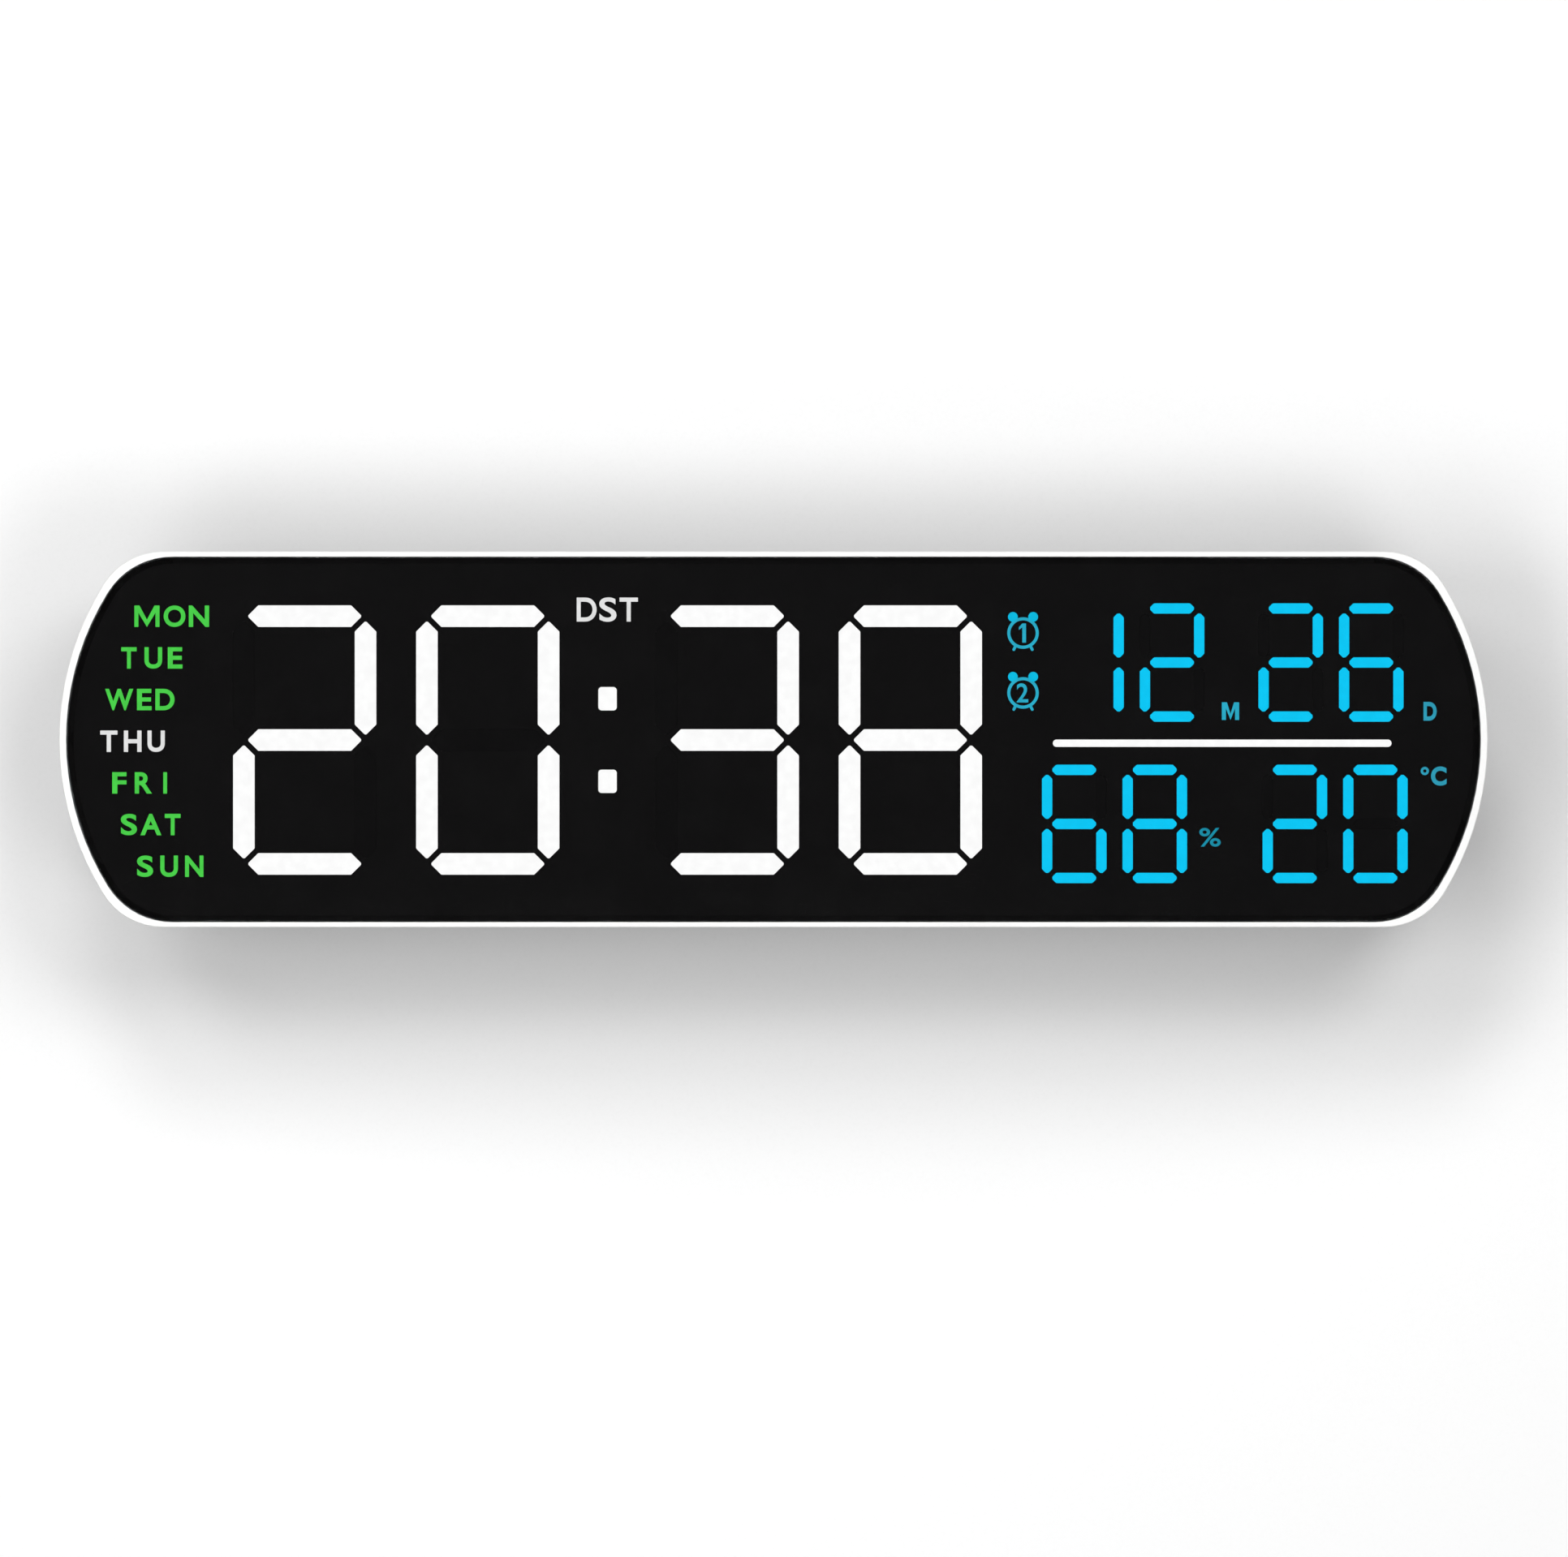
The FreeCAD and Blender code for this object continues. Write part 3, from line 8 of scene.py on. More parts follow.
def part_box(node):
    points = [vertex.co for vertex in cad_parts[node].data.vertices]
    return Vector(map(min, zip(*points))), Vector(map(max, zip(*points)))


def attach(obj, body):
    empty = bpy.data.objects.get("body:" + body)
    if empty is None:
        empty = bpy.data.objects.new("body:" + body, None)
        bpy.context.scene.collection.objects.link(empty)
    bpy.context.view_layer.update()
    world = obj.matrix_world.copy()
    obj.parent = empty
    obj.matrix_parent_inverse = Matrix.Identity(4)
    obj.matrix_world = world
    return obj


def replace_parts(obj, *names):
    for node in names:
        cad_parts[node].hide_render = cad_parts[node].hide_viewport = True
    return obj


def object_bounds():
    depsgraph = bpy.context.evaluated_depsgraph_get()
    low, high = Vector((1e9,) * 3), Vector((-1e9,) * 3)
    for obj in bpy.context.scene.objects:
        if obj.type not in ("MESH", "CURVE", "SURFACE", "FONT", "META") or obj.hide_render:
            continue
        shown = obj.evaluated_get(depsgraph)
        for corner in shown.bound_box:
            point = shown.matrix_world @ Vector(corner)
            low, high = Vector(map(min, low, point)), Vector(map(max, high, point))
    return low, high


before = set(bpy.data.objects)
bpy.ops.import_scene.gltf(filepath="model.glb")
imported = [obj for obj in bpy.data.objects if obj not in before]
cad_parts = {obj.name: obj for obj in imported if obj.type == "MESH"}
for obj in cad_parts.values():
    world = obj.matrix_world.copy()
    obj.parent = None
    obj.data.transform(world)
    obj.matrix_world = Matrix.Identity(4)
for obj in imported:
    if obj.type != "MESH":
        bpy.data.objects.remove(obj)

mm = 0.001  # metres in a millimetre
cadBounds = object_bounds()
scene = bpy.context.scene
print("frame loaded:", len(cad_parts), "nodes")


# Camera: level with the dial, straight on, through a long lens
cameraSettings = {
    "focal": 135.0,
    "sensor": 36.0,
    "imageWidth": 1932,
    "caseWidth": 1761,  # of the image's width, in its own pixels
    "aimX": 2.8 * mm,
    "aimZ": 39.6 * mm,
}

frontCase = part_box("front_case")
pixel = (frontCase[1].x - frontCase[0].x) / cameraSettings["caseWidth"]


def makeCamera(settings):
    data = bpy.data.cameras.new("dialCamera")
    data.lens = settings["focal"]
    data.sensor_width = settings["sensor"]
    data.clip_start = 0.05
    data.clip_end = 50.0
    camera = bpy.data.objects.new("dialCamera", data)
    reach = settings["imageWidth"] * pixel * settings["focal"] / settings["sensor"]
    camera.location = (settings["aimX"], frontCase[0].y - reach, settings["aimZ"])
    camera.rotation_euler = (math.radians(90), 0, 0)
    scene.collection.objects.link(camera)
    scene.camera = camera


makeCamera(cameraSettings)
scene.view_settings.view_transform = "Standard"
print("camera placed")


# Node helpers
def addNode(tree, kind, **settings):
    node = tree.nodes.new(kind)
    for name, value in settings.items():
        setattr(node, name, value)
    return node


def feed(tree, socket, value):
    if isinstance(value, (int, float, tuple)):
        socket.default_value = value
    else:
        tree.links.new(value, socket)


def setInputs(node, **values):
    for name, value in values.items():
        node.inputs[name].default_value = value


def newGroup(name, inputs, outputs):
    group = bpy.data.node_groups.new(name, "ShaderNodeTree")
    for label, kind, value in inputs:
        socket = group.interface.new_socket(label, in_out="INPUT", socket_type="NodeSocket" + kind)
        socket.default_value = value
    for label, kind in outputs:
        group.interface.new_socket(label, in_out="OUTPUT", socket_type="NodeSocket" + kind)
    return group, group.nodes.new("NodeGroupInput"), group.nodes.new("NodeGroupOutput")


def maths(tree, operation, first, second):
    node = addNode(tree, "ShaderNodeMath", operation=operation)
    feed(tree, node.inputs[0], first)
    feed(tree, node.inputs[1], second)
    return node.outputs[0]


def noise(tree, scale, detail=2.0, roughness=0.5):
    place = addNode(tree, "ShaderNodeTexCoord")
    node = addNode(tree, "ShaderNodeTexNoise")
    setInputs(node, Detail=detail, Roughness=roughness)
    tree.links.new(place.outputs["Object"], node.inputs["Vector"])
    feed(tree, node.inputs["Scale"], scale)
    return node.outputs["Fac"]


def spread(tree, value, low, high, fromLow=0.3, fromHigh=0.7):
    node = addNode(tree, "ShaderNodeMapRange", interpolation_type="SMOOTHSTEP")
    for name, number in (("From Min", fromLow), ("From Max", fromHigh), ("To Min", low), ("To Max", high)):
        feed(tree, node.inputs[name], number)
    tree.links.new(value, node.inputs["Value"])
    return node.outputs["Result"]


def blendColor(tree, factor, first, second, kind="MIX"):
    node = addNode(tree, "ShaderNodeMix", data_type="RGBA", blend_type=kind)
    for socket, value in ((node.inputs[0], factor), (node.inputs[6], first), (node.inputs[7], second)):
        feed(tree, socket, value)
    return node.outputs[2]


# How many features of each kind of unevenness lie along a metre
featuresPerMetre = {"drift": 38.0, "patches": 120.0, "rubbedEdgeHighlight": 260.0, "dust": 90.0, "mottle": 420.0}


# Moulded or rolled surface: slow colour drift, uneven gloss and a fine grain
def makeGrainGroup():
    inputs = [
        ("Color", "Color", (0.8, 0.8, 0.8, 1.0)),
        ("Drift", "Float", 0.04),
        ("Roughness", "Float", 0.4),
        ("Unevenness", "Float", 0.06),
        ("Grain Size", "Float", 0.0008),
    ]
    outputs = [("Color", "Color"), ("Roughness", "Float"), ("Height", "Float")]
    group, given, result = newGroup("surfaceGrain", inputs, outputs)
    drift = spread(group, noise(group, featuresPerMetre["drift"], 3.0), 0.0, 1.0)
    darker = maths(group, "SUBTRACT", 1.0, given.outputs["Drift"])
    shade = spread(group, drift, darker, 1.0, 0.0, 1.0)
    grainScale = maths(group, "DIVIDE", 1.0, given.outputs["Grain Size"])
    grain = noise(group, grainScale, 2.0, 0.6)
    speck = spread(group, grain, 0.985, 1.0, 0.25, 0.55)
    tone = maths(group, "MULTIPLY", shade, speck)
    toneColor = addNode(group, "ShaderNodeCombineColor")
    for channel in toneColor.inputs:
        group.links.new(tone, channel)
    color = blendColor(group, 1.0, given.outputs["Color"], toneColor.outputs[0], "MULTIPLY")
    patches = noise(group, featuresPerMetre["patches"], 4.0, 0.6)
    rise = maths(group, "MULTIPLY", maths(group, "SUBTRACT", patches, 0.5), given.outputs["Unevenness"])
    fine = maths(group, "MULTIPLY", maths(group, "SUBTRACT", grain, 0.5), given.outputs["Unevenness"])
    rough = maths(group, "ADD", given.outputs["Roughness"], maths(group, "ADD", rise, fine))
    group.links.new(color, result.inputs["Color"])
    group.links.new(rough, result.inputs["Roughness"])
    group.links.new(grain, result.inputs["Height"])
    return group


# Edges: a mask where a corner turns, broken up by noise, and a normal that rounds the corner. The mask paints
# edges lighter: rubbed wear and a painted highlight.
def makeEdgeGroup():
    inputs = [("Radius", "Float", 0.0003), ("Breakup", "Float", 0.6)]
    outputs = [("Mask", "Float"), ("Normal", "Vector")]
    group, given, result = newGroup("rubbedEdgesAndHighlight", inputs, outputs)
    bevel = addNode(group, "ShaderNodeBevel", samples=4)
    group.links.new(given.outputs["Radius"], bevel.inputs["Radius"])
    flat = addNode(group, "ShaderNodeNewGeometry")
    dot = addNode(group, "ShaderNodeVectorMath", operation="DOT_PRODUCT")
    group.links.new(bevel.outputs["Normal"], dot.inputs[0])
    group.links.new(flat.outputs["Normal"], dot.inputs[1])
    turn = spread(group, dot.outputs["Value"], 1.0, 0.0, 0.86, 0.995)
    patch = spread(group, noise(group, featuresPerMetre["rubbedEdgeHighlight"], 4.0, 0.65), 0.0, 1.0, 0.4, 0.62)
    keep = maths(group, "SUBTRACT", 1.0, given.outputs["Breakup"])
    broken = maths(group, "ADD", keep, maths(group, "MULTIPLY", patch, given.outputs["Breakup"]))
    group.links.new(maths(group, "MULTIPLY", turn, broken), result.inputs["Mask"])
    group.links.new(bevel.outputs["Normal"], result.inputs["Normal"])
    return group


# Dust that settles on what faces up, in soft patches
def makeDustGroup():
    inputs = [("Amount", "Float", 0.1)]
    outputs = [("Mask", "Float")]
    group, given, result = newGroup("settledDust", inputs, outputs)
    facing = addNode(group, "ShaderNodeNewGeometry")
    parts = addNode(group, "ShaderNodeSeparateXYZ")
    group.links.new(facing.outputs["Normal"], parts.inputs[0])
    up = spread(group, parts.outputs["Z"], 0.25, 1.0, 0.2, 0.9)
    patch = spread(group, noise(group, featuresPerMetre["dust"], 5.0, 0.7), 0.0, 1.0, 0.42, 0.68)
    mask = maths(group, "MULTIPLY", maths(group, "MULTIPLY", up, patch), given.outputs["Amount"])
    group.links.new(mask, result.inputs["Mask"])
    return group


# Light diffuser: a faint mottle in its glow
def makeGlowGroup():
    inputs = [("Color", "Color", (1.0, 1.0, 1.0, 1.0)), ("Mottle", "Float", 0.06)]
    outputs = [("Color", "Color")]
    group, given, result = newGroup("diffuserGlow", inputs, outputs)
    low = maths(group, "SUBTRACT", 1.0, given.outputs["Mottle"])
    level = spread(group, noise(group, featuresPerMetre["mottle"], 2.0), low, 1.0)
    tone = addNode(group, "ShaderNodeCombineColor")
    for channel in tone.inputs:
        group.links.new(level, channel)
    color = blendColor(group, 1.0, given.outputs["Color"], tone.outputs[0], "MULTIPLY")
    group.links.new(color, result.inputs["Color"])
    return group


grainGroup = makeGrainGroup()
edgeGroup = makeEdgeGroup()
dustGroup = makeDustGroup()
glowGroup = makeGlowGroup()
print("shared effects built")


def placeGroup(tree, group, values):
    node = addNode(tree, "ShaderNodeGroup", node_tree=group)
    for name, value in values.items():
        node.inputs[name].default_value = value
    return node


def rgba(color):
    return (*color, 1.0)


def startMaterial(name, viewColor):
    material = bpy.data.materials.new(name)
    material.use_nodes = True
    material.diffuse_color = rgba(viewColor)
    tree = material.node_tree
    return material, tree, tree.nodes["Principled BSDF"]


# Finishes: colour, gloss and grain of each material. Grain and edge sizes are in millimetres.
plainLook = {
    "drift": 0.04,
    "unevenness": 0.06,
    "grain": 0.8,
    "relief": 0.02,
    "edge": 0.3,
    # edge amount and colour: edges painted lighter than the body, partly rubbed wear, partly a painted
    # highlight
    "rubbedEdgeHighlight": 0.0,
    "rubbedEdgeHighlightColor": (0.9, 0.9, 0.9),
    "breakup": 0.6,
    "dust": 0.0,
    "dustColor": (0.62, 0.60, 0.56),
    "dustRough": 0.5,  # how much dust adds to the roughness
    "metallic": 0.0,
    "ior": 1.5,
}

finishes = {
    "casingWhite": {
        "color": (0.88, 0.88, 0.875), "roughness": 0.36, "grain": 0.9, "relief": 0.02,
        "rubbedEdgeHighlight": 0.35, "rubbedEdgeHighlightColor": (0.88, 0.88, 0.87), "dust": 0.10,
    },
    "legWhite": {
        "color": (0.82, 0.82, 0.815), "roughness": 0.42, "grain": 0.7, "relief": 0.03,
        "rubbedEdgeHighlight": 0.4, "rubbedEdgeHighlightColor": (0.88, 0.88, 0.87), "dust": 0.10,
    },
    "filmBlack": {
        "color": (0.011, 0.0108, 0.0112), "roughness": 0.62, "ior": 1.25, "relief": 0.003, "drift": 0.1,
        "unevenness": 0.03, "edge": 0.05,
    },
    "gasketBlack": {
        "color": (0.008, 0.008, 0.008), "roughness": 0.8, "ior": 1.2, "relief": 0.04, "grain": 0.4,
        "edge": 0.1,
    },
    "reflectorWhite": {"color": (0.72, 0.72, 0.70), "roughness": 0.5, "relief": 0.02},
    "boardGreen": {
        "color": (0.01, 0.09, 0.035), "roughness": 0.34, "drift": 0.18, "relief": 0.03, "grain": 1.6,
    },
    "chipBlack": {"color": (0.014, 0.014, 0.016), "roughness": 0.55, "relief": 0.03, "grain": 0.3},
    "leadMetal": {"color": (0.62, 0.60, 0.56), "roughness": 0.3, "metallic": 1.0, "relief": 0.01},
    "ledChip": {"color": (0.75, 0.72, 0.5), "roughness": 0.4, "relief": 0.01},
    "screwSteel": {
        "color": (0.44, 0.44, 0.45), "roughness": 0.32, "metallic": 1.0, "unevenness": 0.16, "grain": 0.25,
        "relief": 0.02, "edge": 0.15, "rubbedEdgeHighlight": 0.5, "rubbedEdgeHighlightColor": (0.75, 0.74, 0.72), "dust": 0.15,
    },
    "canMetal": {"color": (0.66, 0.67, 0.68), "roughness": 0.28, "metallic": 1.0, "unevenness": 0.12},
    "cellSteel": {"color": (0.68, 0.68, 0.67), "roughness": 0.25, "metallic": 1.0, "unevenness": 0.14},
    "contactMetal": {"color": (0.72, 0.62, 0.42), "roughness": 0.3, "metallic": 1.0, "unevenness": 0.1},
    "buttonGrey": {
        "color": (0.30, 0.31, 0.32), "roughness": 0.48, "grain": 0.5, "relief": 0.05, "drift": 0.06,
        "rubbedEdgeHighlight": 0.5, "rubbedEdgeHighlightColor": (0.42, 0.43, 0.44), "breakup": 0.4, "dust": 0.12,
    },
    "iconWhite": {"color": (0.80, 0.80, 0.79), "roughness": 0.45, "edge": 0.08, "drift": 0.08, "rubbedEdgeHighlight": 0.2},
    "footRubber": {
        "color": (0.045, 0.045, 0.047), "roughness": 0.82, "grain": 0.5, "relief": 0.08, "drift": 0.15,
        "rubbedEdgeHighlight": 0.5, "rubbedEdgeHighlightColor": (0.11, 0.11, 0.11), "dust": 0.35,
    },
    "labelSilver": {
        "color": (0.60, 0.61, 0.62), "roughness": 0.38, "metallic": 0.6, "unevenness": 0.1, "grain": 0.6,
        "relief": 0.01, "edge": 0.05, "dust": 0.1,
    },
    "ribbonGrey": {"color": (0.34, 0.34, 0.36), "roughness": 0.5, "grain": 1.2, "relief": 0.05},
    "darkLens": {"color": (0.02, 0.012, 0.014), "roughness": 0.1, "relief": 0.0},
}


def makeFinish(name, chosen):
    look = {**plainLook, **chosen}
    material, tree, shader = startMaterial(name, look["color"])
    grain = placeGroup(tree, grainGroup, {
        "Color": rgba(look["color"]),
        "Drift": look["drift"],
        "Roughness": look["roughness"],
        "Unevenness": look["unevenness"],
        "Grain Size": look["grain"] * mm,
    })
    edge = placeGroup(tree, edgeGroup, {"Radius": look["edge"] * mm, "Breakup": look["breakup"]})
    dust = placeGroup(tree, dustGroup, {"Amount": look["dust"]})
    # Edges painted lighter: partly rubbed wear, partly a painted highlight
    rubbedEdgeHighlightMask = maths(tree, "MULTIPLY", edge.outputs["Mask"], look["rubbedEdgeHighlight"])
    rubbedAndHighlit = blendColor(tree, rubbedEdgeHighlightMask, grain.outputs["Color"], rgba(look["rubbedEdgeHighlightColor"]))
    dusty = blendColor(tree, dust.outputs["Mask"], rubbedAndHighlit, rgba(look["dustColor"]))
    tree.links.new(dusty, shader.inputs["Base Color"])
    dustRough = maths(tree, "MULTIPLY", dust.outputs["Mask"], look["dustRough"])
    rough = maths(tree, "ADD", grain.outputs["Roughness"], dustRough)
    tree.links.new(rough, shader.inputs["Roughness"])
    bump = addNode(tree, "ShaderNodeBump")
    setInputs(bump, Strength=1.0, Distance=look["relief"] * mm)
    tree.links.new(grain.outputs["Height"], bump.inputs["Height"])
    tree.links.new(edge.outputs["Normal"], bump.inputs["Normal"])
    tree.links.new(bump.outputs["Normal"], shader.inputs["Normal"])
    shader.inputs["Metallic"].default_value = look["metallic"]
    shader.inputs["IOR"].default_value = look["ior"]
    return material


finishMaterials = {name: makeFinish(name, look) for name, look in finishes.items()}


# Lit diffusers behind the smoked window. The strength makes up for what the window holds back.
litLooks = {
    "litWhite": {"color": (1.0, 1.0, 1.0), "strength": 2.95, "mottle": 0.05},
    "litWord": {"color": (1.0, 1.0, 1.0), "strength": 2.35, "mottle": 0.10},
    "litBlue": {"color": (0.0, 0.59, 0.94), "strength": 2.9, "mottle": 0.05},
    "litBell": {"color": (0.0, 0.52, 0.80), "strength": 2.9, "mottle": 0.10},
    "litTealBright": {"color": (0.02, 0.39, 0.55), "strength": 3.15, "mottle": 0.12},
    "litTeal": {"color": (0.03, 0.38, 0.54), "strength": 2.6, "mottle": 0.12},
    "litTealDim": {"color": (0.012, 0.38, 0.55), "strength": 2.1, "mottle": 0.15},
    "litGreen": {"color": (0.075, 0.70, 0.075), "strength": 2.75, "mottle": 0.12},
    "unlit": {"color": (0.012, 0.012, 0.0125), "strength": 0.0, "mottle": 0.1},
}
diffuserLook = {
    "color": (0.005, 0.005, 0.005), "roughness": 0.55, "unevenness": 0.1, "grain": 0.5, "ior": 1.2,
}


def makeLit(name, look, diffuser):
    material, tree, shader = startMaterial(name, look["color"])
    glow = placeGroup(tree, glowGroup, {"Color": rgba(look["color"]), "Mottle": look["mottle"]})
    grain = placeGroup(tree, grainGroup, {
        "Roughness": diffuser["roughness"],
        "Unevenness": diffuser["unevenness"],
        "Grain Size": diffuser["grain"] * mm,
    })
    if look["strength"]:
        tree.links.new(glow.outputs["Color"], shader.inputs["Emission Color"])
        shader.inputs["Emission Strength"].default_value = look["strength"]
        shader.inputs["Base Color"].default_value = rgba(diffuser["color"])
    else:
        tree.links.new(glow.outputs["Color"], shader.inputs["Base Color"])
    tree.links.new(grain.outputs["Roughness"], shader.inputs["Roughness"])
    shader.inputs["IOR"].default_value = diffuser["ior"]
    return material


litMaterials = {name: makeLit(name, look, diffuserLook) for name, look in litLooks.items()}


# Smoked window: clear enough for the lights, black where nothing is lit, polished on both faces
windowLook = {
    "color": (0.0022, 0.0020, 0.0022),
    "alpha": 0.42,
    "roughness": 0.03,
    "drift": 0.05,
    "smear": 0.03,
    "smearSize": 12.0,
    "dust": 0.02,
    "dustColor": (0.3, 0.3, 0.3),
    "ior": 1.49,
}


def makeWindow(look):
    material, tree, shader = startMaterial("smokedWindow", look["color"])
    grain = placeGroup(tree, grainGroup, {
        "Color": rgba(look["color"]),
        "Drift": look["drift"],
        "Roughness": look["roughness"],
        "Unevenness": look["smear"],
        "Grain Size": look["smearSize"] * mm,
    })
    dust = placeGroup(tree, dustGroup, {"Amount": look["dust"]})
    dusty = blendColor(tree, dust.outputs["Mask"], grain.outputs["Color"], rgba(look["dustColor"]))
    tree.links.new(dusty, shader.inputs["Base Color"])
    tree.links.new(grain.outputs["Roughness"], shader.inputs["Roughness"])
    setInputs(shader, Alpha=look["alpha"], IOR=look["ior"])
    return material


windowMaterial = makeWindow(windowLook)
print("finishes made:", len(finishMaterials) + len(litMaterials) + 1)


# Which finish each node of the frame wears
finishOfNodes = {
    "casingWhite": ["front_case", "back_cover", "battery_door"],
    "legWhite": ["left_leg", "right_leg"],
    "filmBlack": ["mask_film"],
    "gasketBlack": ["lens_gasket"],
    "reflectorWhite": ["reflector_frame", "weekday_pads", "sign_pads"],
    "boardGreen": ["led_board", "control_board", "sensor_board"],
    "chipBlack": [
        "driver_chips", "controller_chip", "switch_bodies", "buzzer", "coin_cell_holder", "board_header",
        "power_socket_base", "power_socket_tongue",
    ],
    "leadMetal": ["driver_leads", "header_pins"],
    "ledChip": ["display_leds"],
    "screwSteel": ["display_screws", "control_board_screws", "case_screws", "left_leg_pin", "right_leg_pin"],
    "canMetal": ["crystal_can", "capacitors", "power_socket_shell"],
    "cellSteel": ["coin_cell"],
    "contactMetal": ["battery_contact", "climate_sensor"],
    "buttonGrey": ["mode_button", "up_button", "down_button", "dimmer_button"],
    "iconWhite": ["mode_plunger", "up_plunger", "down_plunger", "dimmer_plunger"],
    "footRubber": ["left_leg_foot", "right_leg_foot"],
    "labelSilver": ["blank_label"],
    "ribbonGrey": ["sensor_ribbon"],
    "darkLens": ["remote_receiver", "daylight_sensor"],
}


def dressNode(node, material):
    mesh = bpy.data.objects[node].data
    mesh.materials.clear()
    mesh.materials.append(material)


for finish, nodes in finishOfNodes.items():
    for node in nodes:
        dressNode(node, finishMaterials[finish])
dressNode("front_lens", windowMaterial)
print("frame dressed")


# Flat shapes that face the front: closed outlines in (x, z), between two levels along y
faceFront = Matrix.Rotation(math.radians(90), 4, "X")


def outlineMesh(name, curve, low, high, bevel):
    curve.dimensions = "2D"
    curve.fill_mode = "BOTH"
    curve.extrude = (high - low) / 2 - bevel
    curve.bevel_depth = bevel
    curve.bevel_resolution = 2
    holder = bpy.data.objects.new(name, curve)
    scene.collection.objects.link(holder)
    bpy.context.view_layer.update()
    mesh = bpy.data.meshes.new_from_object(holder.evaluated_get(bpy.context.evaluated_depsgraph_get()))
    bpy.data.objects.remove(holder)
    mesh.transform(Matrix.Translation((0, (low + high) / 2, 0)) @ faceFront)
    return mesh


def polygonMesh(name, outlines, low, high, bevel=0.0):
    curve = bpy.data.curves.new(name, "CURVE")
    for points in outlines:
        spline = curve.splines.new("POLY")
        spline.points.add(len(points) - 1)
        for point, (x, z) in zip(spline.points, points):
            point.co = (x, z, 0, 1)
        spline.use_cyclic_u = True
    curve.offset = -bevel
    return outlineMesh(name, curve, low, high, bevel)


def addPiece(name, meshes, body, materials):
    joined = bmesh.new()
    for index, mesh in enumerate(meshes):
        start = len(joined.faces)
        joined.from_mesh(mesh)
        joined.faces.ensure_lookup_table()
        for face in joined.faces[start:]:
            face.material_index = min(index, len(materials) - 1)
    bmesh.ops.remove_doubles(joined, verts=joined.verts, dist=1e-7)
    whole = bpy.data.meshes.new(name)
    joined.to_mesh(whole)
    joined.free()
    for material in materials:
        whole.materials.append(material)
    piece = bpy.data.objects.new(name, whole)
    scene.collection.objects.link(piece)
    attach(piece, body)
    return piece


def arc(x, z, radius, start, end, steps=24):
    turns = [math.radians(start + (end - start) * i / steps) for i in range(steps + 1)]
    return [(x + radius * math.cos(t), z + radius * math.sin(t)) for t in turns]


def circle(x, z, radius, steps=40):
    return arc(x, z, radius, 0, 360, steps)[:-1]


def roundedBox(x, z, width, height, radius, steps=8):
    dx, dz = width / 2 - radius, height / 2 - radius
    corners = [(dx, dz, 0), (-dx, dz, 90), (-dx, -dz, 180), (dx, -dz, 270)]
    points = []
    for cx, cz, start in corners:
        points += arc(x + cx, z + cz, radius, start, start + 90, steps)
    return points


def softened(points, radius, steps=4):
    soft = []
    for i, point in enumerate(points):
        here = Vector(point)
        before = Vector(points[i - 1])
        after = Vector(points[(i + 1) % len(points)])
        towardBefore = (before - here).normalized() * min(radius, (before - here).length * 0.45)
        towardAfter = (after - here).normalized() * min(radius, (after - here).length * 0.45)
        for k in range(steps + 1):
            t = k / steps
            place = here + towardBefore * (1 - t) ** 2 + towardAfter * t ** 2
            soft.append((place.x, place.y))
    return soft


# Digits: seven bars each, lit as the figure asks
digitLooks = {
    "time": {
        "sideGap": 1.2, "endGap": 1.5, "stroke": 5.75, "tip": 0.5, "soft": 0.25,
        "lit": "litWhite", "slot": "white_light",
        "column": None,  # as wide as its box
        "pitch": 0.0,
    },
    "small": {
        "sideGap": 1.4, "endGap": 1.35, "stroke": 2.75, "tip": 0.7, "soft": 0.45,
        "lit": "litBlue", "slot": "blue_light",
        "column": 14.45,  # between the middles of a digit's two sides
        "pitch": 21.45,  # between the middles of two digits
    },
}

barsOfFigure = {
    "0": "abcdef", "1": "bc", "2": "abged", "3": "abcdg", "4": "bcfg", "5": "acdfg", "6": "acdefg",
    "7": "abc", "8": "abcdefg", "9": "abcdfg",
}

shownFigures = {
    "hour_tens_digit": ("time", "2"),
    "hour_units_digit": ("time", "0"),
    "minute_tens_digit": ("time", "3"),
    "minute_units_digit": ("time", "8"),
    "month_digits": ("small", "12"),
    "day_digits": ("small", "26"),
    "humidity_digits": ("small", "68"),
    "temperature_digits": ("small", "20"),
}

padCrown = 0.08 * mm  # how far a light pad's face stands out, with edges rounded as much


def barPlaces(x, z, column, row, look):
    left, right = x - column / 2, x + column / 2
    across, up = column - 2 * look["sideGap"] * mm, row - 2 * look["endGap"] * mm
    return {
        "a": (x, z + row, across, False),
        "b": (right, z + row / 2, up, True),
        "c": (right, z - row / 2, up, True),
        "d": (x, z - row, across, False),
        "e": (left, z - row / 2, up, True),
        "f": (left, z + row / 2, up, True),
        "g": (x, z, across, False),
    }


def barOutline(place, look):
    x, z, length, upright = place
    half, side, nose = length / 2, look["stroke"] * mm / 2, look["tip"] * mm / 2
    shoulder = half - (side - nose)
    corners = [(half, nose), (shoulder, side), (-shoulder, side), (-half, nose)]
    corners += [(-u, -v) for u, v in corners]
    if upright:
        corners = [(v, u) for u, v in reversed(corners)]
    return softened([(x + u, z + v) for u, v in corners], look["soft"] * mm)


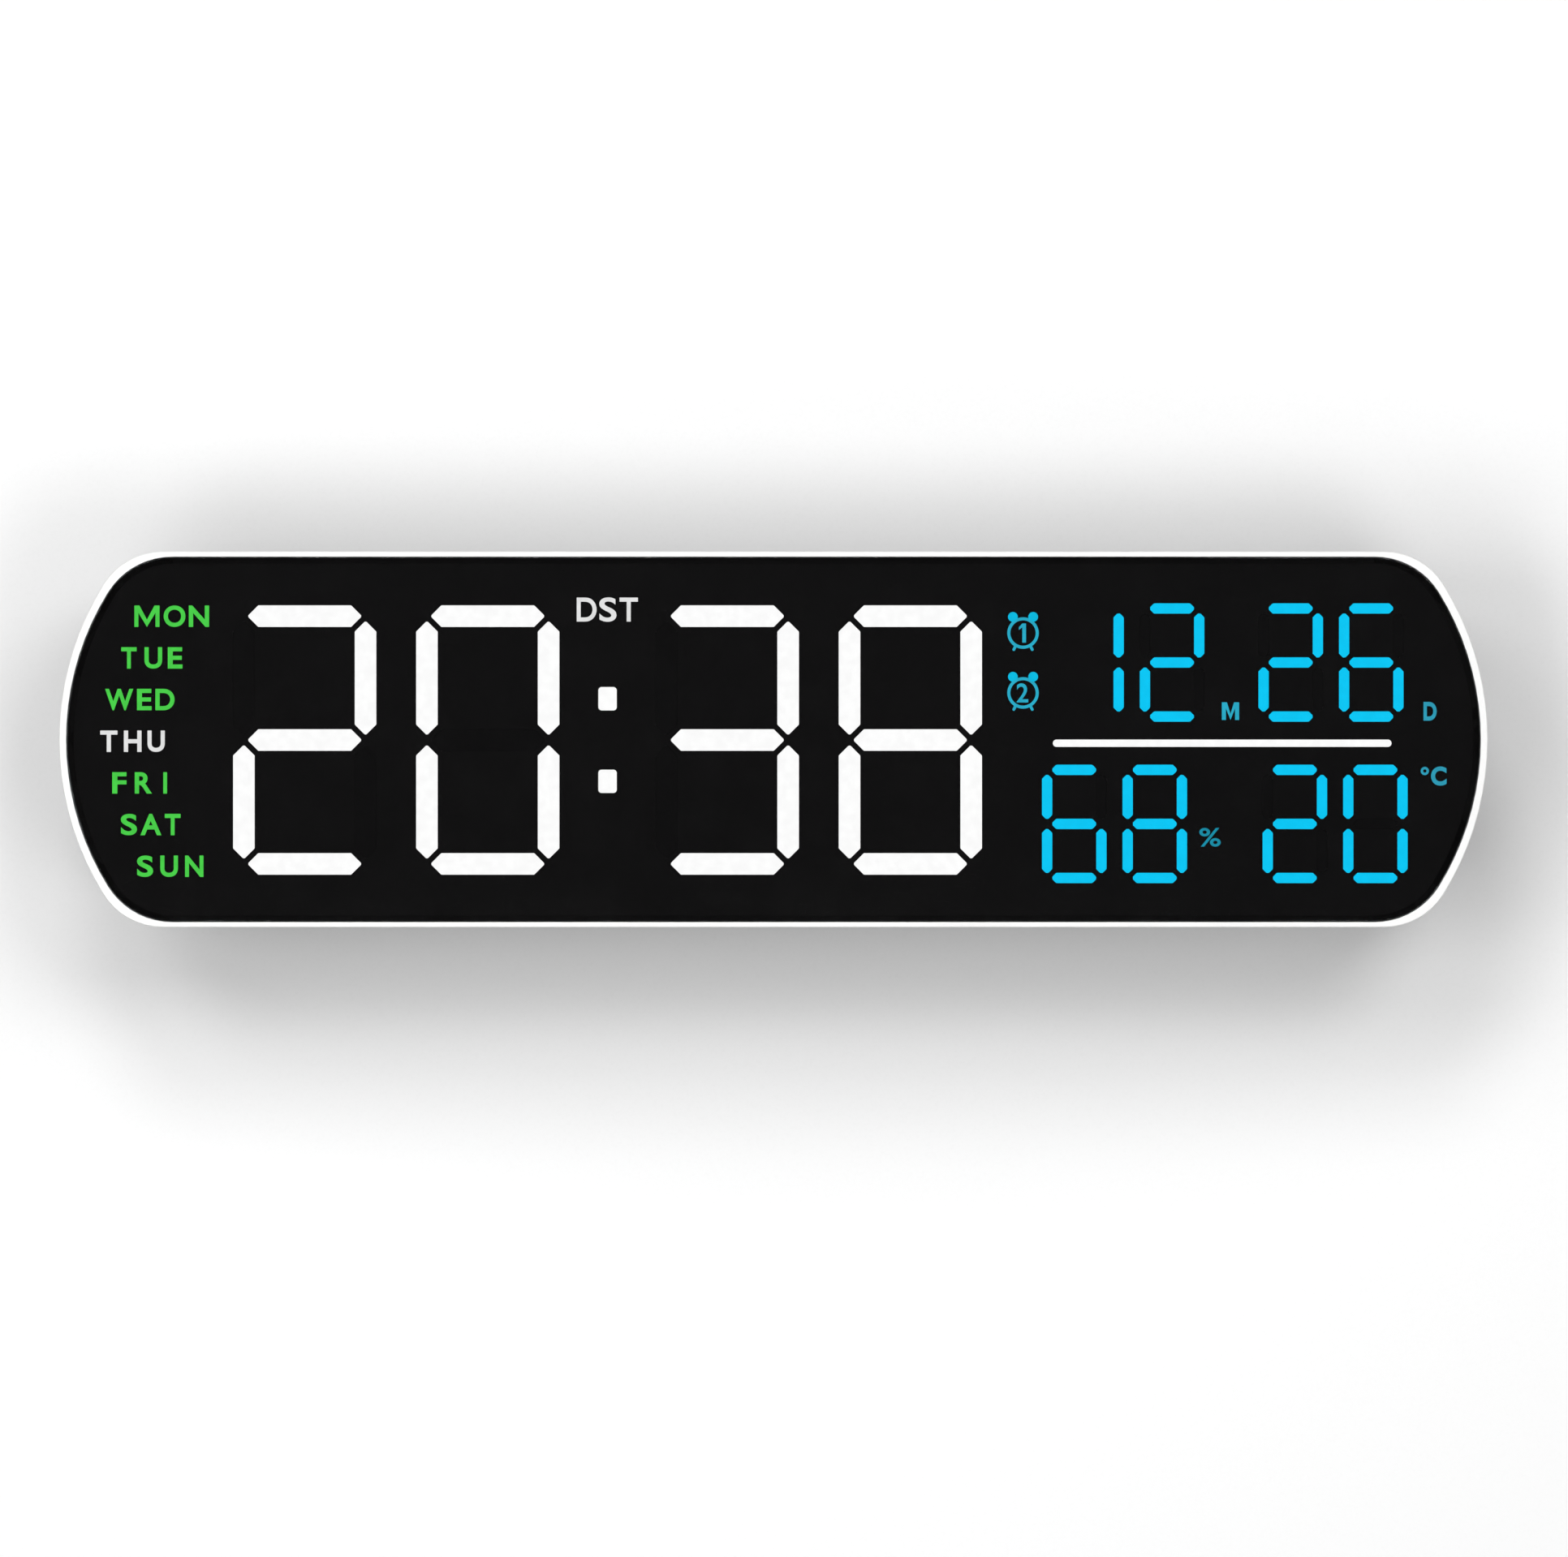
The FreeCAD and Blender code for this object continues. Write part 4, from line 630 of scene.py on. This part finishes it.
def makeDigits(node, style, figures):
    look = digitLooks[style]
    low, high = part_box(node)
    stroke = look["stroke"] * mm
    row = (high.z - low.z - stroke) / 2
    column = look["column"] * mm if look["column"] else high.x - low.x - stroke
    z = (low.z + high.z) / 2
    lastX = high.x - (column + stroke) / 2
    lit, dark = [], []
    for i, figure in enumerate(figures):
        x = lastX - look["pitch"] * mm * (len(figures) - 1 - i)
        places = barPlaces(x, z, column, row, look)
        for bar, place in places.items():
            if node == "month_digits" and i == 0 and bar not in "bc":
                continue  # the first figure of a month has two bars
            (lit if bar in barsOfFigure[figure] else dark).append(barOutline(place, look))
    front = low.y - padCrown
    meshes = [polygonMesh(node + "Lit", lit, front, high.y, padCrown)]
    materials = [litMaterials[look["lit"]]]
    if dark:
        meshes.append(polygonMesh(node + "Dark", dark, front, high.y, padCrown))
        materials.append(litMaterials["unlit"])
    piece = addPiece(node + "_bars", meshes, "clock", materials)
    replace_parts(piece, node)


for node, (style, figures) in shownFigures.items():
    makeDigits(node, style, figures)
print("digits lit")


# Colon and divider: one crowned light pad for each lit place
def makePads(name, node, places, radius):
    low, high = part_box(node)
    outlines = [roundedBox(x, z, width, height, radius) for x, z, width, height in places]
    mesh = polygonMesh(name, outlines, low.y - padCrown, high.y, padCrown)
    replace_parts(addPiece(name, [mesh], "clock", [litMaterials["litWhite"]]), node)


colonLook = {"dotHeight": 6.4 * mm, "round": 0.9 * mm, "inset": 0.1 * mm}
colonLow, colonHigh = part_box("colon_dots")
colonX = (colonLow.x + colonHigh.x) / 2
colonZ = [colonLow.z + colonLook["dotHeight"] / 2, colonHigh.z - colonLook["dotHeight"] / 2]
dotWidth = colonHigh.x - colonLow.x - 2 * colonLook["inset"]
dotHeight = colonLook["dotHeight"] - 2 * colonLook["inset"]
colonPads = [(colonX, z, dotWidth, dotHeight) for z in colonZ]
makePads("colon_lights", "colon_dots", colonPads, colonLook["round"])

dividerLook = {"roundShare": 0.49}  # of the bar's height
barLow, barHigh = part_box("divider_bar")
barMiddle = (barLow + barHigh) / 2
barSize = barHigh - barLow
barPlace = (barMiddle.x, barMiddle.z, barSize.x, barSize.z)
makePads("divider_light", "divider_bar", [barPlace], barSize.z * dividerLook["roundShare"])
print("colon and divider lit")


# Words and signs: printed openings in the film, lit from behind
signLook = {"rise": 0.03, "own": {"M": 1.08, "1": 1.0}}
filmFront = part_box("mask_film")[0].y


def glyphMesh(name, text, x, z, width, height, boldness, low, high):
    curve = bpy.data.curves.new(name, "FONT")
    curve.body = text
    curve.resolution_u = 8
    curve.offset = boldness
    mesh = outlineMesh(name, curve, low, high, 0.0)
    xs = [v.co.x for v in mesh.vertices]
    zs = [v.co.z for v in mesh.vertices]
    scaleX = width / (max(xs) - min(xs))
    scaleZ = height / (max(zs) - min(zs))
    for vertex in mesh.vertices:
        vertex.co.x = x + (vertex.co.x - min(xs)) * scaleX
        vertex.co.z = z + (vertex.co.z - (min(zs) + max(zs)) / 2) * scaleZ
    return mesh


# Letters that the plain typeface draws badly when bold, in a unit box, from their stroke's width
def ownOutline(text, stroke):
    if text == "M":
        return [
            (0, 0), (0, 1), (1.25 * stroke, 1), (0.5, 0.34), (1 - 1.25 * stroke, 1), (1, 1), (1, 0),
            (1 - stroke, 0), (1 - stroke, 0.66), (0.5, 0), (stroke, 0.66), (stroke, 0),
        ]
    return [(0, 0.66), (0, 0.80), (1 - stroke, 1), (1, 1), (1, 0), (1 - stroke, 0), (1 - stroke, 0.80)]


def ownGlyph(name, text, x, z, width, height, stroke, low, high):
    points = [
        (x + across * width, z + (up - 0.5) * height) for across, up in ownOutline(text, stroke / width)
    ]
    return polygonMesh(name, [points], low, high)


def makeSign(name, letters, lit, boldness=0.0, extra=()):
    low, high = filmFront - signLook["rise"] * mm, filmFront
    meshes = list(extra)
    for i, (text, x, z, width, height) in enumerate(letters):
        part = name + str(i)
        if text in signLook["own"]:
            stroke = signLook["own"][text] * mm
            meshes.append(ownGlyph(part, text, x, z, width, height, stroke, low, high))
        else:
            meshes.append(glyphMesh(part, text, x, z, width, height, boldness, low, high))
    addPiece(name, meshes, "clock", [litMaterials[lit]])


# Weekdays: each letter's left edge and width, in millimetres
weekdayLook = {
    "height": 5.7,
    "boldness": 0.027,
    "words": {
        "MON": ((-170.2, 6.7), (-162.4, 5.8), (-155.7, 5.4)),
        "TUE": ((-173.7, 4.1), (-167.5, 4.7), (-161.3, 3.9)),
        "WED": ((-178.0, 7.5), (-169.5, 3.9), (-164.6, 5.1)),
        "THU": ((-179.3, 4.6), (-173.0, 4.7), (-166.7, 4.6)),
        "FRI": ((-176.1, 3.8), (-170.1, 4.6), (-162.5, 1.0)),
        "SAT": ((-173.8, 4.3), (-168.6, 5.6), (-162.1, 4.2)),
        "SUN": ((-169.5, 4.3), (-163.3, 4.7), (-156.7, 4.9)),
    },
    "today": "THU",
    "top": 82.83,
    "pitch": 11.1,
}

for row, (word, places) in enumerate(weekdayLook["words"].items()):
    z = (weekdayLook["top"] - row * weekdayLook["pitch"]) * mm
    height = weekdayLook["height"] * mm
    letters = [(letter, left * mm, z, width * mm, height) for letter, (left, width) in zip(word, places)]
    isToday = word == weekdayLook["today"]
    lit = "litWord" if isToday else "litGreen"
    makeSign("weekday_" + word.lower(), letters, lit, weekdayLook["boldness"])

# Other signs: each letter's left edge, middle height, width and height in millimetres
plainSigns = {
    "summer_time_sign": {
        "lit": "litWord", "slot": "white_light", "boldness": 0.018,
        "letters": [("D", -52.4, 84.6, 5.3, 6.4), ("S", -46.4, 84.6, 4.6, 6.5), ("T", -41.0, 84.6, 4.9, 6.4)],
    },
    "month_sign": {"lit": "litTealBright", "letters": [("M", 119.4, 57.55, 4.6, 4.7)]},
    "day_sign": {"lit": "litTeal", "boldness": 0.042, "letters": [("D", 173.1, 57.5, 3.5, 5.0)]},
    "humidity_sign": {"lit": "litTealDim", "boldness": 0.012, "letters": [("%", 113.4, 23.95, 5.7, 5.0)]},
    "temperature_sign": {
        "lit": "litTeal", "boldness": 0.042, "letters": [("C", 175.1, 40.25, 4.15, 5.1)],
        "ring": (173.45, 41.6, 1.1, 0.45),
    },
}

for name, sign in plainSigns.items():
    letters = [(text, *(value * mm for value in values)) for text, *values in sign["letters"]]
    extra = []
    if "ring" in sign:
        x, z, outer, inner = [value * mm for value in sign["ring"]]
        rings = [circle(x, z, outer), circle(x, z, inner)]
        extra.append(polygonMesh("degreeRing", rings, filmFront - signLook["rise"] * mm, filmFront))
    makeSign(name, letters, sign["lit"], sign.get("boldness", 0.0), extra)

# Alarm signs: a little bell clock with its number
alarmLook = {
    "x": 66.45, "ring": 4.2, "stroke": 0.82, "bellSpread": 2.7, "bellRise": 4.3, "bell": 1.3,
    "footSpread": 2.45, "footDrop": 4.4, "footWidth": 0.75, "footLean": 0.5, "footLength": 1.0,
    "numberHeight": 5.1, "numberShift": -0.15, "boldness": 0.015,
    "rows": {"1": (78.35, 1.9), "2": (62.4, 3.1)},  # each number's middle height and width
}


def capsule(x0, z0, x1, z1, width):
    turn = math.degrees(math.atan2(z1 - z0, x1 - x0))
    radius = width / 2
    return arc(x1, z1, radius, turn - 90, turn + 90, 8) + arc(x0, z0, radius, turn + 90, turn + 270, 8)


def alarmShapes(x, z, look):
    ring, inner = look["ring"] * mm, (look["ring"] - look["stroke"]) * mm
    clock, bells = [[circle(x, z, ring), circle(x, z, inner)]], []
    for side in (-1, 1):
        bellX, bellZ = x + side * look["bellSpread"] * mm, z + look["bellRise"] * mm
        bells.append([circle(bellX, bellZ, look["bell"] * mm)])
        tipX, tipZ = x + side * look["footSpread"] * mm, z - look["footDrop"] * mm
        rootX, rootZ = tipX - side * look["footLean"] * mm, tipZ + look["footLength"] * mm
        clock.append([capsule(rootX, rootZ, tipX, tipZ, look["footWidth"] * mm)])
    return clock, bells


for number, (z, width) in alarmLook["rows"].items():
    x = alarmLook["x"]
    low = filmFront - signLook["rise"] * mm
    clock, bells = alarmShapes(x * mm, z * mm, alarmLook)
    clockMeshes = [polygonMesh("alarmClock", outlines, low, filmFront) for outlines in clock]
    bellMeshes = [polygonMesh("alarmBell", outlines, low, filmFront) for outlines in bells]
    left = x + alarmLook["numberShift"] - width / 2
    numeral = [(number, left * mm, z * mm, width * mm, alarmLook["numberHeight"] * mm)]
    boldness = alarmLook["boldness"]
    makeSign("alarm_sign_" + number, numeral, "litTealBright", boldness, clockMeshes)
    makeSign("alarm_bells_" + number, [], "litBell", extra=bellMeshes)
print("words and signs lit")


# Raised signs on the four buttons
buttonSignLook = {
    "rise": 0.15, "sunk": 0.1, "round": 0.05, "stroke": 0.7, "size": 1.6,
    "arrowTop": 0.55, "arrowFoot": 0.45,  # shares of the size above and below the middle
    "fineStroke": 0.6,  # share of the stroke in the small marks
    "sunDisc": 0.5, "rayFrom": 0.8, "rayTo": 1.2, "rays": 8,
}


def buttonShapes(kind, x, z, look):
    size, stroke = look["size"] * mm, look["stroke"] * mm
    fine = stroke * look["fineStroke"]
    if kind in ("up", "down"):
        way = 1 if kind == "up" else -1
        top = z + way * size * look["arrowTop"]
        foot = z - way * size * look["arrowFoot"]
        return [
            [capsule(x - size, foot, x, top, stroke)],
            [capsule(x, top, x + size, foot, stroke)],
        ]
    if kind == "mode":
        return [[circle(x, z, size), circle(x, z, size - stroke)], [circle(x, z, fine)]]
    shapes = [[circle(x, z, size * look["sunDisc"])]]
    near, far = size * look["rayFrom"], size * look["rayTo"]
    for i in range(look["rays"]):
        turn = math.radians(360 / look["rays"] * i)
        shapes.append([capsule(
            x + near * math.cos(turn), z + near * math.sin(turn),
            x + far * math.cos(turn), z + far * math.sin(turn), fine,
        )])
    return shapes


for kind in ("mode", "up", "down", "dimmer"):
    low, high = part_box(kind + "_button")
    x, z = (low.x + high.x) / 2, (low.z + high.z) / 2
    back, front = high.y + buttonSignLook["rise"] * mm, high.y - buttonSignLook["sunk"] * mm
    shapes = buttonShapes(kind, x, z, buttonSignLook)
    softness = buttonSignLook["round"] * mm
    meshes = [polygonMesh("buttonSign", outlines, front, back, softness) for outlines in shapes]
    addPiece(kind + "_button_sign", meshes, kind + "_button", [finishMaterials["iconWhite"]])
print("buttons marked")


# Studio: a pale floor well below, a pale wall behind that only the eye sees, and soft lamps. Wall and floor
# carry a painted glow that grows away from the clock, so they stay darker near it.
studioLook = {
    "color": (0.90, 0.90, 0.90),
    # painted glow seen by the eye, from near to far, growing over a span in metres from the clock's middle,
    # each axis stretched: brighter away from the clock, darker near it
    "wallGlowAwayFromClock": {"near": 0.0, "far": 0.1, "span": (0.09, 0.15), "stretch": (0.4, 0.0, 1.0)},
    "floorGlowAwayFromClock": {"near": 0.35, "far": 1.0, "span": (0.5, 2.4), "stretch": (1.0, 1.0, 1.0)},
    # hidden black cloth that deepens the wall's shadow: painted shade
    "shadowClothColor": (0.003, 0.003, 0.003),
    "clothInset": 2 * mm,
    "clothGap": 0.5 * mm,
    "wallGap": 44 * mm,
    "floorDrop": 0.42,
    "wallWidth": 3.0,
    "wallTop": 1.2,
    "floorSize": 30.0,
}


def makeStudioMaterial(name, color, glowAwayFromClock):
    material, tree, shader = startMaterial(name, color)
    grain = placeGroup(tree, grainGroup, {"Color": rgba(color), "Drift": 0.0})
    tree.links.new(grain.outputs["Color"], shader.inputs["Base Color"])
    shader.inputs["Specular IOR Level"].default_value = 0.0
    shader.inputs["Roughness"].default_value = 1.0
    rays = addNode(tree, "ShaderNodeLightPath")
    seen = maths(tree, "MAXIMUM", rays.outputs["Is Camera Ray"], rays.outputs["Is Glossy Ray"])
    seen = maths(tree, "MAXIMUM", seen, rays.outputs["Is Transmission Ray"])
    place = addNode(tree, "ShaderNodeTexCoord")
    stretched = addNode(tree, "ShaderNodeVectorMath", operation="MULTIPLY_ADD")
    stretched.inputs[1].default_value = glowAwayFromClock["stretch"]
    stretched.inputs[2].default_value = (0.0, 0.0, -(cadBounds[0].z + cadBounds[1].z) / 2)
    tree.links.new(place.outputs["Object"], stretched.inputs[0])
    distance = addNode(tree, "ShaderNodeVectorMath", operation="LENGTH")
    tree.links.new(stretched.outputs[0], distance.inputs[0])
    # Painted glow for eye, mirror and glass rays, growing away from the clock: painted light far off, painted
    # shade near it
    level = spread(tree, distance.outputs["Value"], glowAwayFromClock["near"], glowAwayFromClock["far"], *glowAwayFromClock["span"])
    glow = addNode(tree, "ShaderNodeEmission")
    tree.links.new(maths(tree, "MULTIPLY", seen, level), glow.inputs["Strength"])
    both = addNode(tree, "ShaderNodeAddShader")
    tree.links.new(shader.outputs[0], both.inputs[0])
    tree.links.new(glow.outputs[0], both.inputs[1])
    clear = addNode(tree, "ShaderNodeBsdfTransparent")
    side = addNode(tree, "ShaderNodeNewGeometry")
    choose = addNode(tree, "ShaderNodeMixShader")
    tree.links.new(side.outputs["Backfacing"], choose.inputs[0])
    tree.links.new(both.outputs[0], choose.inputs[1])
    tree.links.new(clear.outputs[0], choose.inputs[2])
    tree.links.new(choose.outputs[0], tree.nodes["Material Output"].inputs["Surface"])
    return material


def stagePlane(name, corners, material):
    mesh = bpy.data.meshes.new(name)
    mesh.from_pydata(corners, [], [(0, 1, 2, 3)])
    mesh.materials.append(material)
    plane = bpy.data.objects.new(name, mesh)
    scene.collection.objects.link(plane)
    return plane


def makeStudio(look):
    wallY = cadBounds[1].y + look["wallGap"]
    half, floorHalf = look["wallWidth"] / 2, look["floorSize"] / 2
    low, top = -look["floorDrop"], look["wallTop"]
    wall = stagePlane(
        "studioWall",
        [(-half, wallY, low), (half, wallY, low), (half, wallY, top), (-half, wallY, top)],
        makeStudioMaterial("wallPaint", look["color"], look["wallGlowAwayFromClock"]),
    )
    floor = stagePlane(
        "studioFloor",
        [(-floorHalf, -floorHalf, low), (floorHalf, -floorHalf, low), (floorHalf, floorHalf, low),
         (-floorHalf, floorHalf, low)],
        makeStudioMaterial("floorPaint", look["color"], look["floorGlowAwayFromClock"]),
    )
    for plane in (wall, floor):
        plane.visible_diffuse = False
        plane.visible_shadow = False

    # A hidden black cloth right behind the clock, seen only by bounce light, keeps its white back from
    # lighting the wall: painted shade that deepens the wall's shadow
    left, right = cadBounds[0].x + look["clothInset"], cadBounds[1].x - look["clothInset"]
    bottom, crown = cadBounds[0].z + look["clothInset"], cadBounds[1].z - look["clothInset"]
    clothY = cadBounds[1].y + look["clothGap"]
    cloth = stagePlane(
        "shadowCloth",
        [(right, clothY, bottom), (left, clothY, bottom), (left, clothY, crown), (right, clothY, crown)],
        makeStudioMaterial("shadowClothBlack", look["shadowClothColor"], {**look["wallGlowAwayFromClock"], "far": 0.0}),
    )
    cloth.visible_camera = False
    cloth.visible_glossy = False
    cloth.visible_transmission = False
    cloth.visible_shadow = False


makeStudio(studioLook)

lampLooks = {
    "topSoftbox": {"place": (-0.16, -1.35, 0.99), "size": 0.45, "power": 5.6},
    "leftHighSoftbox": {"place": (-0.57, -1.35, 0.62), "size": 0.45, "power": 3.9},
    "rightHighSoftbox": {"place": (0.42, -1.35, 0.47), "size": 0.45, "power": 5.1},
    "leftSoftbox": {"place": (-0.60, -1.35, 0.05), "size": 0.45, "power": 4.2},
    "leftLowSoftbox": {"place": (-0.46, -1.35, -0.34), "size": 0.45, "power": 3.4},
    "rightLowSoftbox": {"place": (0.46, -1.35, -0.34), "size": 0.45, "power": 3.7},
    "rearTopSoftbox": {"place": (-0.5, 1.3, 0.9), "size": 0.9, "power": 11.0},
    "rearSideSoftbox": {"place": (0.9, 1.3, 0.2), "size": 0.8, "power": 6.0},
}

aimPoint = Vector((0, 0, (cadBounds[0].z + cadBounds[1].z) / 2))


def makeLamp(name, look):
    data = bpy.data.lights.new(name, "AREA")
    data.shape = "DISK"
    data.size = look["size"]
    data.energy = look["power"]
    lamp = bpy.data.objects.new(name, data)
    lamp.location = look["place"]
    lamp.visible_camera = False
    lamp.rotation_mode = "QUATERNION"
    lamp.rotation_quaternion = (aimPoint - lamp.location).to_track_quat("-Z", "Y")
    scene.collection.objects.link(lamp)


for name, look in lampLooks.items():
    makeLamp(name, look)

# World: white to the eye, a soft fill for everything else, and dark straight ahead of the window's mirror
worldLook = {"fill": 0.15, "seen": 1.0, "ahead": 0.04, "aheadFrom": 0.75, "aheadTo": 0.95}


def makeWorld(look):
    world = bpy.data.worlds.new("studioAir")
    world.use_nodes = True
    tree = world.node_tree
    scene.world = world
    background = tree.nodes["Background"]
    rays = addNode(tree, "ShaderNodeLightPath")
    way = addNode(tree, "ShaderNodeTexCoord")
    parts = addNode(tree, "ShaderNodeSeparateXYZ")
    tree.links.new(way.outputs["Generated"], parts.inputs[0])
    ahead = maths(tree, "MULTIPLY", parts.outputs["Y"], -1.0)
    mirrored = spread(tree, ahead, look["seen"], look["ahead"], look["aheadFrom"], look["aheadTo"])
    straight = maths(tree, "MAXIMUM", rays.outputs["Is Camera Ray"], rays.outputs["Is Transmission Ray"])

    def choose(mask, without, chosen):
        node = addNode(tree, "ShaderNodeMix", data_type="FLOAT")
        for socket, value in ((node.inputs[0], mask), (node.inputs[2], without), (node.inputs[3], chosen)):
            feed(tree, socket, value)
        return node.outputs[0]

    level = choose(rays.outputs["Is Glossy Ray"], look["fill"], mirrored)
    level = choose(straight, level, look["seen"])
    tree.links.new(level, background.inputs["Strength"])
    background.inputs["Color"].default_value = (1.0, 1.0, 1.0, 1.0)


makeWorld(worldLook)
print("studio lit")
